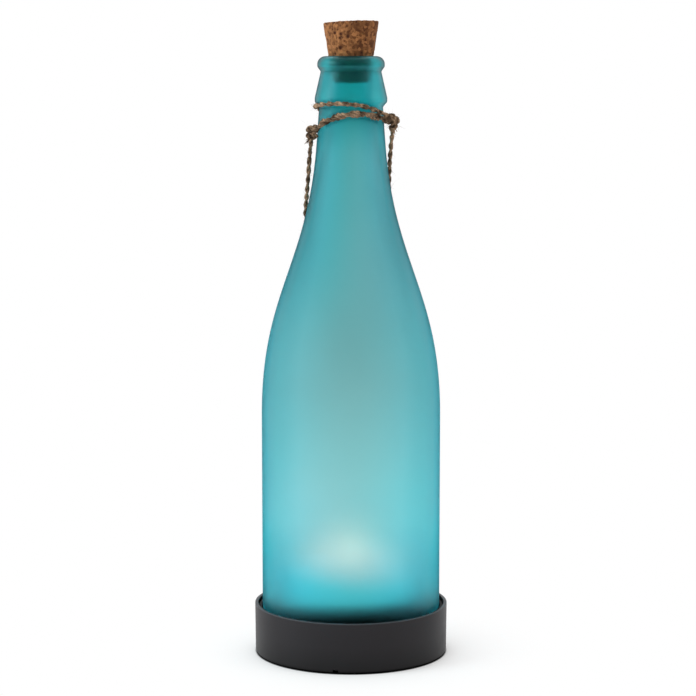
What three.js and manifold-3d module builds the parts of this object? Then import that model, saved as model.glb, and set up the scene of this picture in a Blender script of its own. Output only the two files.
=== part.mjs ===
// Solar bottle lamp: a corked glass bottle that stands in a base cup with a solar light in it.
// Millimetres, +Z up, origin on the floor below the bottle's axis, the front towards -Y.
import * as THREE from 'three';
import { mergeVertices } from 'three/addons/utils/BufferGeometryUtils.js';
import Module from 'manifold-3d';

const wasm = await Module();
wasm.setup();

// Clearances
const fitGap = 0.3; // loose fit round a piece
const seatGap = 0.1; // a piece lying flat on another
const fuse = 0.5; // how far joined lumps of one moulding run into each other

// Bottle
const bottleRadius = 40;
const bottleHeight = 250.5; // foot to lip
const glassWall = 3;
const heelRadius = 5;
const footRing = 5; // width of the flat ring it stands on
const puntDepth = 36; // hollow under the bottle
const puntSide = 19; // height of the hollow's straight side
const puntTaper = 2.5; // how far that side leans inwards
const innerHeelRadius = 1.6;
const shoulderStart = 91.2; // above the foot
const shoulderHandle = 55.5;
const neckHandle = 55;
const neckRootDrop = 37.3; // below the lip's top, as are the other drops
const neckRootRadius = 15.15;
const neckTopRadius = 14.1;
const collarDrop = 20; // lower edge of the collar's upright face
const collarFace = 1.8;
const collarFlare = 2.2; // height of the flare below that face
const collarRadius = 16;
const grooveDrop = 6.7;
const grooveRadius = 13.35;
const lipDrop = 4.6; // lower edge of the lip's upright face
const lipFace = 1.2;
const lipRadius = 14.85;
const lipFlat = 0.3; // flat width of the lip's top
const mouthRound = 0.6;

// Cork
const corkTopRadius = 12.2;
const corkBottomRadius = 8;
const corkHeight = 27.2;
const corkProud = 14.9; // height above the lip
const corkChamfer = 0.8;

// Twine
const twineRadius = 0.9;
const doubledRadius = 1.35; // where two strands run together across the front
const knotForward = 5.3; // both knots, from the bottle's axis towards the front
const leftKnotRadius = 2.4;
const leftKnotPlay = 0.7; // off the glass
const leftKnotDrop = 33.3;
const rightKnotRadius = 2.3;
const rightKnotDrop = 30.4;
const rightLumpRadius = 2.2;
const rightLumpRise = 3.2; // upper lump above the lower one
const tailRadius = 0.75;
const tailLength = 5.2;
const leftTailWay = [-0.6, -0.45, -0.66];
const rightTailWay = [0.62, -0.6, -0.5];
const lowerFrontDrop = 25.2; // heights of the winding, a quarter turn apart
const lowerRightDrop = 28.6;
const backDrop = 26.4;
const upperLeftDrop = 22.9;
const upperFrontDrop = 20.9;
const windingLead = 0.3; // quarter turns between a knot and the winding's first touch
const doubledEnd = 1.6; // quarter turns at which the doubled run has become one strand
const doubledTaper = 0.3;
const gapReach = 4; // diameters along a tube before its gap to itself is measured

// Base cup
const rimGap = 1.9; // dark gap between glass and cup
const cupWall = 1.5;
const cupDraft = 0.2;
const rimRound = 0.5;
const deckThickness = 1.5;
const rimAboveDeck = 6.8;
const skirtClear = 0.8; // skirt's lower edge above the floor
const bossRadius = 3.5;
const bossClear = 0.4; // to the cover's seal
const bossAngles = [30, 150, 270]; // degrees
const ribThickness = 1.5;
const ribClear = 0.6; // over the swing of the door's tongues
const wireHoleRadius = 2.2;
const notchWidth = 2.6;
const notchHeight = 1.1;
const notchOffset = -6.9;

// Bottom cover, its seal, screws and feet
const coverThickness = 1.8;
const coverAboveFloor = 1.2;
const sealThickness = 1.1;
const sealWidth = 2.2;
const ledgeThickness = 1.5;
const coverScrewRadius = 1.3;
const coverScrewLength = 7.8;
const screwHeadRadius = 2.6;
const screwHeadHeight = 0.9;
const crossLength = 2.6; // driver's recess
const crossWidth = 0.7;
const crossDepth = 0.45;
const footRadius = 4;
const footRecess = 0.6;
const footInset = 1.1; // from the cover's edge
const footAngle = 50; // degrees from the X axis

// Seat ring
const seatThickness = 1;
const seatLipDrop = 1.5; // below the cup's rim
const seatInset = 1.5; // bare width at the foot ring's inner edge

// Battery, contacts and door
const batteryDiameter = 10.5;
const batteryLength = 44.5;
const nubRadius = 1.9;
const nubLength = 0.8;
const batteryOffset = 11; // from the bottle's axis towards the front
const batteryLift = 0.4; // above the cover
const contactThickness = 0.4;
const contactWidth = 8;
const contactHeight = 6;
const springSpan = 4.6;
const springWire = 0.35;
const springTurns = 2.5;
const springInner = 2;
const springOuter = 3.5;
const cradleLength = 24;
const cradleThickness = 1.2;
const cradleHeight = 5;
const doorThickness = 1.6;
const doorMargin = 1.25; // door beyond the battery on each side
const doorScrewSetback = 3; // from the door's free edge
const doorTab = 6; // door beyond the positive contact's rib
const doorScrewRadius = 1;
const doorScrewLength = 3.8;
const doorScrewPlay = 0.4;
const tongueWidth = 3;
const tongueSpacing = 7;
const tongueReach = 2.2;
const tongueThickness = 1;

// Circuit board and what is on it
const boardWidth = 32;
const boardDepth = 18;
const boardThickness = 1.6;
const boardY = 18;
const boardScrewInset = 3.5; // from the board's edges
const boardPostRadius = 2.5;
const boardScrewRadius = 0.9;
const boardHeadRadius = 1.7;
const boardHeadHeight = 0.9;
const chipWidth = 5;
const chipDepth = 4;
const chipHeight = 1.5;
const partX = 6.5; // chip and inductor either side of the board's middle
const inductorRadius = 2.4;
const inductorHeight = 3;
const partClear = 1; // over the inductor

// Switch
const switchWall = 0.9;
const switchHeight = 3.5;
const switchTravel = 4;
const knobWidth = 4;
const knobDepth = 3.6;
const knobCap = 1.5;
const knobRecess = 0.4; // knob below the cover's face
const stemWidth = 2.4;
const stemDepth = 2;
const stemEntry = 1.6; // stem inside the housing

// Solar panel
const panelClear = 3.5; // to the bottle's foot ring
const panelThickness = 2;
const padThickness = 0.8;
const padWidth = 5.5;
const panelWireOffset = 2; // its wires, in front of the board's middle
const panelWireX = 1.1;

// Light
const postWall = 1.6;
const postFlangeWidth = 4;
const postFlange = 1.6;
const postLip = 1.6;
const ledRadius = 2.5;
const ledHeight = 7.6;
const ledFlange = 1;
const ledRim = 0.8; // width of its flange
const leadRadius = 0.3;
const leadLength = 8;
const leadSpacing = 2.54;
const lensWall = 1.6;
const lensGap = 1; // over the LED
const lensClear = 3.8; // under the glass

// Wires
const wireRadius = 0.5;
const wireLead = 3; // straight run out of a contact or lead
const padInset = 3; // from the board's edges to where wires are soldered
const ledPadX = 3;
const wireSteps = 16;
const panelWireSteps = 4;

// Facets
const glassFacets = 44;
const roundFacets = 48;
const mediumFacets = 28;
const smallFacets = 16;
const holeFacets = 12;
const cordSides = 8;
const loopSides = 6;
const loopSteps = 24;
const curlSides = 5;
const curlSteps = 8;
const arcSteps = 4; // least steps round a bend
const bendStep = 11; // length of a step round a long bend
const ringTurn = Math.PI * 2;
const quarter = Math.PI / 2;
const weld = 1e-3; // points closer than this are one point

// Heights that follow from the sizes. The deck clears the battery and the board's stack.
const coverTop = coverAboveFloor + coverThickness;
const batteryZ = coverTop + batteryLift + batteryDiameter / 2;
const boardDrop = seatGap + inductorHeight + partClear;
const knobTop = coverAboveFloor + knobRecess + knobCap;
const boardStack = knobTop + fitGap + switchHeight + seatGap + boardThickness + boardDrop;
const deckUnderside = Math.max(batteryZ + batteryDiameter / 2 + fitGap, boardStack);
const deckTop = deckUnderside + deckThickness;
const rimZ = deckTop + rimAboveDeck;
const bottleFoot = deckTop + seatThickness + 2 * seatGap;
const lipZ = bottleFoot + bottleHeight;
const shoulderZ = bottleFoot + shoulderStart;
const boardTop = deckUnderside - boardDrop;
const boardUnderside = boardTop - boardThickness;
const ledgeZ = coverTop + sealThickness + 2 * seatGap;
const screwRecess = screwHeadHeight + 2 * seatGap;
const tongueLow = coverTop + fitGap;
const tongueSwing = Math.hypot(tongueReach, tongueLow + tongueThickness - coverAboveFloor);
const ribLow = coverAboveFloor + tongueSwing + ribClear;

// Battery bay along X, from the door's hinge edge to its free edge
const contactSlot = contactThickness + seatGap;
const bayLength = springSpan + batteryLength + fitGap + 2 * contactSlot;
const doorLength = bayLength + ribThickness + doorTab;
const doorWidth = batteryDiameter + 2 * doorMargin;
const doorHingeX = (tongueReach - doorLength) / 2;
const doorFreeX = doorHingeX + doorLength;
const doorScrewX = doorFreeX - doorScrewSetback;
const batteryY = -batteryOffset;
const negativePlate = doorHingeX + contactSlot;
const batteryStart = negativePlate + springSpan;
const positivePlate = batteryStart + batteryLength + fitGap;
const positiveRib = positivePlate + contactSlot;

// Radii that follow from the sizes. The cup takes the bottle, and the door inside its seal.
const footInner = bottleRadius - heelRadius - footRing;
const innerRadius = bottleRadius - glassWall;
const doorReach = Math.hypot(doorFreeX, batteryOffset + doorWidth / 2);
const cupInner = Math.max(bottleRadius + rimGap, doorReach + sealWidth + 2 * fitGap);
const cupRadius = cupInner + cupWall;
const coverRadius = cupInner - fitGap;
const bossCircle = coverRadius - sealWidth - bossClear - bossRadius;
const footCircle = coverRadius - footInset - footRadius;
const panelRadius = footInner - panelClear;
const corkTaper = (corkTopRadius - corkBottomRadius) / corkHeight;
const boreRadius = corkTopRadius - corkTaper * corkProud + fitGap;
const ledFlangeRadius = ledRadius + ledRim;
const postBore = ledFlangeRadius + fitGap;
const postRadius = postBore + postWall;
const postFlangeRadius = postRadius + postFlangeWidth;

// Light, hung from the top of the hollow foot downwards
const ledProud = ledHeight - postLip - seatGap;
const lensHeight = ledProud - seatGap + lensGap + lensWall;
const postFoot = deckTop + seatGap;
const postTop = bottleFoot + puntDepth - lensClear - lensHeight - seatGap;
const ledTop = postTop + ledProud;
const ledBase = ledTop - ledHeight - ledFlange;

// Materials
const finish = (color, roughness, metalness = 0) =>
  new THREE.MeshStandardMaterial({ color, roughness, metalness });
const tealGlass = finish(0x4fa9ab, 0.5);
tealGlass.transparent = true;
tealGlass.opacity = 0.8;
const corkBrown = finish(0x9a7355, 0.9);
const jute = finish(0x8a7158, 0.95);
const charcoal = finish(0x323234, 0.55);
const blackRubber = finish(0x1b1b1c, 0.85);
const panelBlue = finish(0x141c33, 0.25);
const foamGrey = finish(0x55585a, 0.95);
const whitePlastic = finish(0xe8e8e4, 0.5);
const clearPlastic = finish(0xf4f6f2, 0.15);
const boardGreen = finish(0x1f5b3a, 0.5);
const chipBlack = finish(0x151515, 0.45);
const ferrite = finish(0x3a3a3c, 0.6);
const steel = finish(0xb8babd, 0.35, 1);
const batteryGreen = finish(0x3d7d4a, 0.4);
const redWire = finish(0xa52018, 0.55);
const blackWire = finish(0x1a1a1a, 0.55);

// Solids and meshes
function solidOf(geometry) {
  const bare = geometry.clone();
  bare.deleteAttribute('normal');
  bare.deleteAttribute('uv');
  const merged = mergeVertices(bare, weld / 10);
  return new wasm.Manifold(new wasm.Mesh({
    numProp: 3,
    vertProperties: new Float32Array(merged.attributes.position.array),
    triVerts: new Uint32Array(merged.index.array),
  }));
}

function geometryOf(solid) {
  const mesh = solid.getMesh();
  const geometry = new THREE.BufferGeometry();
  geometry.setAttribute('position', new THREE.BufferAttribute(mesh.vertProperties, 3));
  geometry.setIndex(new THREE.BufferAttribute(mesh.triVerts, 1));
  geometry.computeVertexNormals();
  return geometry;
}

const joined = (first, ...others) =>
  geometryOf(others.reduce((sum, part) => sum.add(solidOf(part)), solidOf(first)));
const cut = (first, ...others) =>
  geometryOf(others.reduce((rest, part) => rest.subtract(solidOf(part)), solidOf(first)));

// Points along a path: straight runs by their ends, bends by steps.
function pointsAlong(path) {
  const points = path.curves.flatMap((curve) => {
    const bend = Math.max(arcSteps, Math.round(curve.getLength() / bendStep));
    return curve.getPoints(curve.isLineCurve ? 1 : bend);
  });
  return points.filter((point, i) => i === 0 || point.distanceTo(points[i - 1]) > weld);
}

// Turned shape about Z. The outline holds points of (radius, height), anticlockwise.
function turned(outline, facets) {
  const points = outline.map(({ x, y }) => new THREE.Vector2(x < weld ? 0 : x, y));
  return new THREE.LatheGeometry(points, facets).rotateX(quarter);
}

function ring(inner, outer, low, high, facets) {
  const corner = (radius, height) => new THREE.Vector2(radius, height);
  return turned([
    corner(inner, low), corner(outer, low), corner(outer, high), corner(inner, high), corner(inner, low),
  ], facets);
}

function disc(x, y, radius, low, high, facets = holeFacets) {
  const shape = new THREE.CylinderGeometry(radius, radius, high - low, facets).rotateX(quarter);
  return shape.translate(x, y, (low + high) / 2);
}

function block(lowX, highX, lowY, highY, lowZ, highZ) {
  const shape = new THREE.BoxGeometry(highX - lowX, highY - lowY, highZ - lowZ);
  return shape.translate((lowX + highX) / 2, (lowY + highY) / 2, (lowZ + highZ) / 2);
}

function upright(x, y, width, depth, low, high) {
  return block(x - width / 2, x + width / 2, y - depth / 2, y + depth / 2, low, high);
}

// Round cord along a smooth curve through the points.
function cord(points, radius, steps) {
  const section = new THREE.Shape();
  for (let side = 0; side < cordSides; side += 1) {
    const turn = side / cordSides * ringTurn;
    const [x, y] = [radius * Math.cos(turn), radius * Math.sin(turn)];
    if (side === 0) section.moveTo(x, y);
    else section.lineTo(x, y);
  }
  section.closePath();
  const extrudePath = new THREE.CatmullRomCurve3(points.map((p) => new THREE.Vector3(...p)));
  const sweep = { steps, curveSegments: 1, bevelEnabled: false, extrudePath };
  return new THREE.ExtrudeGeometry(section, sweep);
}

// Closed tube through rings set square to the path, each with its own radius.
function woundTube(path, radii, sides) {
  const last = path.length - 1;
  const positions = [];
  const index = [];
  const normal = new THREE.Vector3();
  path.forEach((point, step) => {
    const tangent = path[Math.min(step + 1, last)].clone().sub(path[Math.max(step - 1, 0)]).normalize();
    if (step === 0) normal.set(tangent.z, tangent.x, tangent.y);
    normal.addScaledVector(tangent, -normal.dot(tangent)).normalize();
    const side = tangent.clone().cross(normal);
    for (let k = 0; k < sides; k += 1) {
      const turn = k / sides * ringTurn;
      const vertex = point.clone();
      vertex.addScaledVector(normal, radii[step] * Math.cos(turn));
      vertex.addScaledVector(side, radii[step] * Math.sin(turn));
      positions.push(...vertex.toArray());
    }
  });
  for (let step = 0; step < last; step += 1) {
    for (let k = 0; k < sides; k += 1) {
      const [a, b] = [step * sides + k, step * sides + (k + 1) % sides];
      index.push(a, b, b + sides, a, b + sides, a + sides);
    }
  }
  for (let k = 1; k < sides - 1; k += 1) {
    const end = last * sides;
    index.push(0, k + 1, k, end, end + k, end + k + 1);
  }
  const geometry = new THREE.BufferGeometry();
  geometry.setAttribute('position', new THREE.Float32BufferAttribute(positions, 3));
  geometry.setIndex(index);
  geometry.computeVertexNormals();
  return geometry;
}

// Least gap of a wound tube to itself, between rings that are some diameters apart along it.
function leastGap(path, radii) {
  let least = Infinity;
  let [run, runs] = [0, [0]];
  for (let i = 1; i < path.length; i += 1) {
    run += path[i].distanceTo(path[i - 1]);
    runs.push(run);
  }
  const apart = gapReach * 2 * Math.max(...radii);
  for (let i = 0; i < path.length; i += 1) {
    for (let j = i + 1; j < path.length; j += 1) {
      if (runs[j] - runs[i] < apart) continue;
      least = Math.min(least, path[i].distanceTo(path[j]) - radii[i] - radii[j]);
    }
  }
  return least;
}

const lamp = new THREE.Group();
lamp.name = 'solar_bottle_lamp';

function piece(name, geometry, material) {
  const mesh = new THREE.Mesh(geometry, material);
  mesh.name = name;
  lamp.add(mesh);
}

// Bottle: one turned wall from the top of the hollow foot, up the outside, and down the inside.
const neckRootZ = lipZ - neckRootDrop;
const collarZ = lipZ - collarDrop;
const neckTopZ = collarZ - collarFlare;
const neckSlope = (neckRootRadius - neckTopRadius) / (neckTopZ - neckRootZ);
const neckHandleRadius = neckRootRadius + neckSlope * neckHandle;

function bottleOutside() {
  const outside = new THREE.Path();
  outside.moveTo(bottleRadius - heelRadius, bottleFoot);
  outside.absarc(bottleRadius - heelRadius, bottleFoot + heelRadius, heelRadius, -quarter, 0);
  outside.lineTo(bottleRadius, shoulderZ);
  outside.bezierCurveTo(
    bottleRadius, shoulderZ + shoulderHandle,
    neckHandleRadius, neckRootZ - neckHandle,
    neckRootRadius, neckRootZ,
  );
  outside.lineTo(neckTopRadius, neckTopZ);
  outside.lineTo(collarRadius, collarZ);
  outside.lineTo(collarRadius, collarZ + collarFace);
  outside.lineTo(grooveRadius, lipZ - grooveDrop);
  outside.lineTo(lipRadius, lipZ - lipDrop);
  const lipTop = boreRadius + mouthRound + lipFlat;
  const shoulder = lipDrop - lipFace;
  outside.absellipse(lipTop, lipZ - shoulder, lipRadius - lipTop, shoulder, 0, quarter);
  return outside;
}

function bottleInside() {
  const inside = new THREE.Path();
  const trough = bottleFoot + glassWall;
  inside.moveTo(boreRadius + mouthRound, lipZ);
  inside.absarc(boreRadius + mouthRound, lipZ - mouthRound, mouthRound, quarter, Math.PI);
  inside.lineTo(boreRadius, neckTopZ);
  inside.lineTo(boreRadius, neckRootZ);
  inside.bezierCurveTo(
    neckHandleRadius - glassWall, neckRootZ - neckHandle,
    innerRadius, shoulderZ + shoulderHandle,
    innerRadius, shoulderZ,
  );
  const heelCentre = innerRadius - innerHeelRadius;
  inside.absarc(heelCentre, trough + innerHeelRadius, innerHeelRadius, 0, -quarter, true);
  return inside;
}

// Half outline of the hollow foot, from the axis outwards: a dome, and a side that leans inwards. The
// wall is how far the outline lies from the hollow's own face.
function puntArch(wall) {
  const arch = new THREE.Path();
  const [reach, rise] = [footInner - puntTaper + wall, puntDepth - puntSide + wall];
  const lean = (puntTaper / puntSide) * wall;
  arch.absellipse(0, bottleFoot + puntSide, reach, rise, quarter, 0, true);
  arch.lineTo(footInner + wall - lean, bottleFoot + wall);
  return pointsAlong(arch);
}

const outsidePoints = pointsAlong(bottleOutside());

function makeBottle() {
  piece('bottle', turned([
    ...puntArch(0), ...outsidePoints, ...pointsAlong(bottleInside()), ...puntArch(glassWall).reverse(),
  ], glassFacets), tealGlass);
}

// Outer radius of the glass at a height, read along its outline.
function glassRadius(z) {
  const next = outsidePoints.findIndex((point, i) => i > 0 && point.y >= z);
  const [low, high] = [outsidePoints[next - 1], outsidePoints[next]];
  const share = (z - low.y) / (high.y - low.y);
  return THREE.MathUtils.lerp(low.x, high.x, share);
}

// Cork: tapered, with its two edges broken.
function makeCork() {
  const [low, high] = [lipZ + corkProud - corkHeight, lipZ + corkProud];
  const slope = corkTaper * corkChamfer;
  piece('cork', turned([
    new THREE.Vector2(0, low),
    new THREE.Vector2(corkBottomRadius - corkChamfer, low),
    new THREE.Vector2(corkBottomRadius + slope, low + corkChamfer),
    new THREE.Vector2(corkTopRadius - slope, high - corkChamfer),
    new THREE.Vector2(corkTopRadius - corkChamfer, high),
    new THREE.Vector2(0, high),
  ], mediumFacets), corkBrown);
}

// Twine: the winding runs from the left knot across the front, round the back, and across the
// front again to the right knot, lying on the glass.
const leftKnotZ = lipZ - leftKnotDrop;
const leftKnotReach = glassRadius(leftKnotZ) + leftKnotPlay + leftKnotRadius;
const leftKnotTurn = Math.asin(knotForward / leftKnotReach);
const leftKnot = new THREE.Vector3(-leftKnotReach * Math.cos(leftKnotTurn), -knotForward, leftKnotZ);
const rightKnotZ = lipZ - rightKnotDrop;
const rightKnotReach = glassRadius(rightKnotZ) + 2 * (fitGap + twineRadius) + rightKnotRadius;
const rightKnotTurn = Math.asin(knotForward / rightKnotReach);
const rightKnot = new THREE.Vector3(rightKnotReach * Math.cos(rightKnotTurn), -knotForward, rightKnotZ);
const rightLump = rightKnot.clone().add(new THREE.Vector3(0, 0, rightLumpRise));

// Least distance from the axis at which a cord's centre clears the glass at a height.
function lyingRadius(z, radius) {
  let reach = 0;
  for (let step = 0; step <= 2 * arcSteps; step += 1) {
    const turn = (step / arcSteps - 1) * quarter;
    reach = Math.max(reach, glassRadius(z + radius * Math.sin(turn)) + radius * Math.cos(turn));
  }
  return reach + fitGap;
}

function makeWinding() {
  const heights = [
    leftKnot.z, lipZ - lowerFrontDrop, lipZ - lowerRightDrop, lipZ - backDrop,
    lipZ - upperLeftDrop, lipZ - upperFrontDrop, rightLump.z,
  ];
  const rise = new THREE.SplineCurve(heights.map((z, quarterTurn) => new THREE.Vector2(quarterTurn, z)));
  const quarters = heights.length - 1;
  const count = Math.round(quarters / 4 * loopSteps);
  const firstTouch = leftKnotTurn / quarter + windingLead;
  const lastTouch = quarters - rightKnotTurn / quarter - windingLead;
  const path = [];
  const radii = [];
  for (let step = 0; step <= count; step += 1) {
    const turn = THREE.MathUtils.lerp(firstTouch, lastTouch, step / count);
    const thin = THREE.MathUtils.smoothstep(turn, doubledEnd - doubledTaper, doubledEnd);
    const radius = THREE.MathUtils.lerp(doubledRadius, twineRadius, thin);
    const { y: z } = rise.getPoint(turn / quarters);
    const reach = lyingRadius(z, radius);
    path.push(new THREE.Vector3(-reach * Math.cos(turn * quarter), -reach * Math.sin(turn * quarter), z));
    radii.push(radius);
  }
  const leadIn = (knot, knotRadius, towards, radius) => {
    const way = towards.clone().sub(knot).normalize();
    const face = knot.clone().addScaledVector(way, knotRadius + fitGap);
    return [face, face.clone().addScaledVector(way, 2 * radius)];
  };
  const start = leadIn(leftKnot, leftKnotRadius, path[0], doubledRadius);
  const end = leadIn(rightLump, rightLumpRadius, path[count], twineRadius).reverse();
  path.unshift(...start);
  path.push(...end);
  radii.unshift(doubledRadius, doubledRadius);
  radii.push(twineRadius, twineRadius);
  console.log('neck_twine least gap to itself', leastGap(path, radii).toFixed(2), 'mm');
  piece('neck_twine', woundTube(path, radii, loopSides), jute);
}

function lump(centre, radius) {
  return new THREE.SphereGeometry(radius, smallFacets, smallFacets / 2).translate(...centre.toArray());
}

// Short cut end of twine that leaves a knot.
function tail(centre, direction) {
  const way = new THREE.Vector3(...direction).normalize();
  const end = centre.clone().addScaledVector(way, tailLength);
  return cord([centre.toArray(), end.toArray()], tailRadius, 1);
}

function makeKnots() {
  piece('left_knot', joined(lump(leftKnot, leftKnotRadius), tail(leftKnot, leftTailWay)), jute);
  piece('right_knot', joined(
    lump(rightKnot, rightKnotRadius), lump(rightLump, rightLumpRadius), tail(rightKnot, rightTailWay),
  ), jute);
}

// The loop hangs from the backs of both knots and lies on the back of the shoulder.
const hangerRoute = [
  [-17, -1.7, 235.6], [-17.2, -1.6, 232.5], [-17.8, -1.1, 228.5], [-18.4, 0.2, 222], [-18.9, 2.2, 215.2],
  [-19.6, 4.9, 207.6], [-20.3, 8.4, 199], [-19.9, 13.3, 189.5], [-18.8, 19, 180], [-17.2, 24.8, 170],
  [-15, 30, 160], [-12.4, 34.2, 150], [-9, 37.6, 140], [-5, 39.7, 132], [0, 40.7, 128.8],
  [5, 39.8, 131.6], [9, 37.7, 139.5], [12.3, 34.2, 150], [14.6, 30.2, 160], [16.1, 25.5, 170],
  [16.9, 20.6, 180], [17.1, 16.4, 190], [17, 12.9, 200], [17, 9.4, 210], [17.1, 5.6, 218],
  [17.4, 2.4, 225], [17.7, 0.1, 229.5], [18.1, -1.4, 233], [18.2, -1.7, 235.6],
];
const hangerSteps = 66;

// Base cup: a drafted wall with a deck across it, a ledge for the cover's seal, and what hangs
// under the deck: screw bosses, board posts, and the ribs that hold the battery's contacts.
const bossTurns = bossAngles.map(THREE.MathUtils.degToRad);
const bossPlaces = bossTurns.map((turn) => [bossCircle * Math.cos(turn), bossCircle * Math.sin(turn)]);
const boardScrewX = boardWidth / 2 - boardScrewInset;
const boardScrewY = boardY + boardDepth / 2 - boardScrewInset;
const boardScrewPlaces = [-boardScrewX, boardScrewX].map((x) => [x, boardScrewY]);
const panelWireY = boardY - panelWireOffset;

function makeBaseCup() {
  const wall = new THREE.Path();
  wall.moveTo(postBore, deckUnderside);
  wall.lineTo(cupInner, deckUnderside);
  wall.lineTo(cupInner, ledgeZ + ledgeThickness);
  wall.lineTo(cupInner - sealWidth - fitGap, ledgeZ + ledgeThickness);
  wall.lineTo(cupInner - sealWidth - fitGap, ledgeZ);
  wall.lineTo(cupInner, ledgeZ);
  wall.lineTo(cupInner, skirtClear);
  wall.lineTo(cupRadius - cupDraft, skirtClear);
  wall.lineTo(cupRadius, rimZ - rimRound);
  wall.absarc(cupRadius - rimRound, rimZ - rimRound, rimRound, 0, quarter);
  wall.lineTo(cupInner, rimZ);
  wall.lineTo(cupInner, deckTop);
  wall.lineTo(postBore, deckTop);
  wall.lineTo(postBore, deckUnderside);
  const under = deckUnderside + fuse;
  const bosses = bossPlaces.map(([x, y]) => disc(x, y, bossRadius, coverTop + seatGap, under));
  const posts = boardScrewPlaces.map(([x, y]) => disc(x, y, boardPostRadius, boardTop + seatGap, under));
  const doorBoss = disc(doorScrewX, batteryY, bossRadius, coverTop + seatGap, under);
  const contactRibs = [doorHingeX - ribThickness / 2, positiveRib + ribThickness / 2].map((x) => upright(
    x, batteryY, ribThickness, contactWidth, ribLow, under,
  ));
  const cradleInner = batteryDiameter / 2 + fitGap;
  const cradles = [-1, 1].map((side) => upright(
    batteryStart + batteryLength / 2, batteryY + side * (cradleInner + cradleThickness / 2),
    cradleLength, cradleThickness, deckUnderside - cradleHeight, under,
  ));
  const moulding = joined(
    turned(pointsAlong(wall), roundFacets), ...bosses, ...posts, doorBoss, ...contactRibs, ...cradles,
  );
  const screwHoles = bossPlaces.map(([x, y]) => disc(
    x, y, coverScrewRadius + fitGap, skirtClear, coverTop + coverScrewLength + fitGap,
  ));
  const boardHoles = boardScrewPlaces.map(([x, y]) => disc(
    x, y, boardScrewRadius + fitGap, boardUnderside, deckUnderside - fuse,
  ));
  const doorHole = disc(
    doorScrewX, batteryY, doorScrewRadius + doorScrewPlay, skirtClear,
    coverTop + doorScrewLength + fitGap,
  );
  const wireHole = disc(0, panelWireY, wireHoleRadius, deckUnderside - fuse, deckTop + fuse);
  const notch = block(
    notchOffset - notchWidth / 2, notchOffset + notchWidth / 2, -cupRadius - fuse, -coverRadius + fuse,
    skirtClear - fuse, skirtClear + notchHeight,
  );
  piece('base_cup', cut(moulding, ...screwHoles, ...boardHoles, doorHole, wireHole, notch), charcoal);
}

// Bottom cover: a disc with the door's opening, the switch's slot and recesses for screws and feet.
const footTurn = THREE.MathUtils.degToRad(footAngle);
const [footX, footY] = [footCircle * Math.cos(footTurn), footCircle * Math.sin(footTurn)];
const footPlaces = [[footX, footY], [-footX, footY], [-footX, -footY], [footX, -footY]];

function makeBottomCover() {
  const plate = disc(0, 0, coverRadius, coverAboveFloor, coverTop, roundFacets);
  const [below, above] = [coverAboveFloor - fuse, coverTop + fuse];
  const doorway = block(
    doorHingeX - fitGap, doorFreeX + fitGap,
    batteryY - doorWidth / 2 - fitGap, batteryY + doorWidth / 2 + fitGap, below, above,
  );
  const slot = upright(
    0, boardY, switchTravel + knobWidth + 2 * fitGap, knobDepth + 2 * fitGap, below, above,
  );
  const recesses = bossPlaces.map(([x, y]) => disc(
    x, y, screwHeadRadius + fitGap, below, coverAboveFloor + screwRecess,
  ));
  const holes = bossPlaces.map(([x, y]) => disc(x, y, coverScrewRadius + fitGap, below, above));
  const footSeats = footPlaces.map(([x, y]) => disc(
    x, y, footRadius + fitGap, below, coverAboveFloor + footRecess, smallFacets,
  ));
  piece('bottom_cover', cut(plate, doorway, slot, ...recesses, ...holes, ...footSeats), charcoal);
  const sealLow = coverTop + seatGap;
  piece('cover_seal', ring(
    coverRadius - sealWidth, coverRadius, sealLow, sealLow + sealThickness, roundFacets,
  ), blackRubber);
  footPlaces.forEach(([x, y], i) => {
    const top = coverAboveFloor + footRecess - seatGap;
    piece(`foot_${i + 1}`, disc(x, y, footRadius, 0, top, smallFacets), blackRubber);
  });
}

// Screw driven upwards: a flat head with a cross recess, and a plain shank.
function screw(x, y, headRadius, headHeight, shankRadius, headLow, tip) {
  const head = disc(x, y, headRadius, headLow, headLow + headHeight);
  const shank = disc(x, y, shankRadius, headLow + headHeight / 2, tip);
  const bars = [[crossLength, crossWidth], [crossWidth, crossLength]];
  const driver = bars.map(([width, across]) => upright(
    x, y, width, across, headLow - fuse, headLow + crossDepth,
  ));
  return cut(joined(head, shank), ...driver);
}

function makeScrews() {
  const coverHead = coverAboveFloor + screwRecess - seatGap - screwHeadHeight;
  bossPlaces.forEach(([x, y], i) => {
    piece(`cover_screw_${i + 1}`, screw(
      x, y, screwHeadRadius, screwHeadHeight, coverScrewRadius, coverHead, coverTop + coverScrewLength,
    ), steel);
  });
  const boardHead = boardUnderside - seatGap - boardHeadHeight;
  boardScrewPlaces.forEach(([x, y], i) => {
    piece(`board_screw_${i + 1}`, screw(
      x, y, boardHeadRadius, boardHeadHeight, boardScrewRadius, boardHead, deckUnderside - fuse - fitGap,
    ), steel);
  });
}

// Seat ring: an angle of rubber under the bottle's foot and round its heel.
function makeSeatRing() {
  const [low, flat] = [deckTop + seatGap, deckTop + seatGap + seatThickness];
  const lipInner = bottleRadius + fitGap;
  const lipOuter = cupInner - fitGap;
  const lipTop = rimZ - seatLipDrop;
  const inner = footInner + seatInset;
  const corner = (radius, z) => new THREE.Vector2(radius, z);
  piece('seat_ring', turned([
    corner(inner, low), corner(lipOuter, low), corner(lipOuter, lipTop),
    corner(lipInner, lipTop), corner(lipInner, flat), corner(inner, flat), corner(inner, low),
  ], roundFacets), blackRubber);
}

// Solar panel: a ring round the post, on foam tape.
function makeSolarPanel() {
  const padLow = deckTop + seatGap;
  const panelLow = padLow + padThickness + seatGap;
  piece('panel_pad', ring(
    panelRadius - padWidth, panelRadius, padLow, padLow + padThickness, mediumFacets,
  ), foamGrey);
  piece('solar_panel', ring(
    postFlangeRadius + fitGap, panelRadius, panelLow, panelLow + panelThickness, roundFacets,
  ), panelBlue);
}

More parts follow.
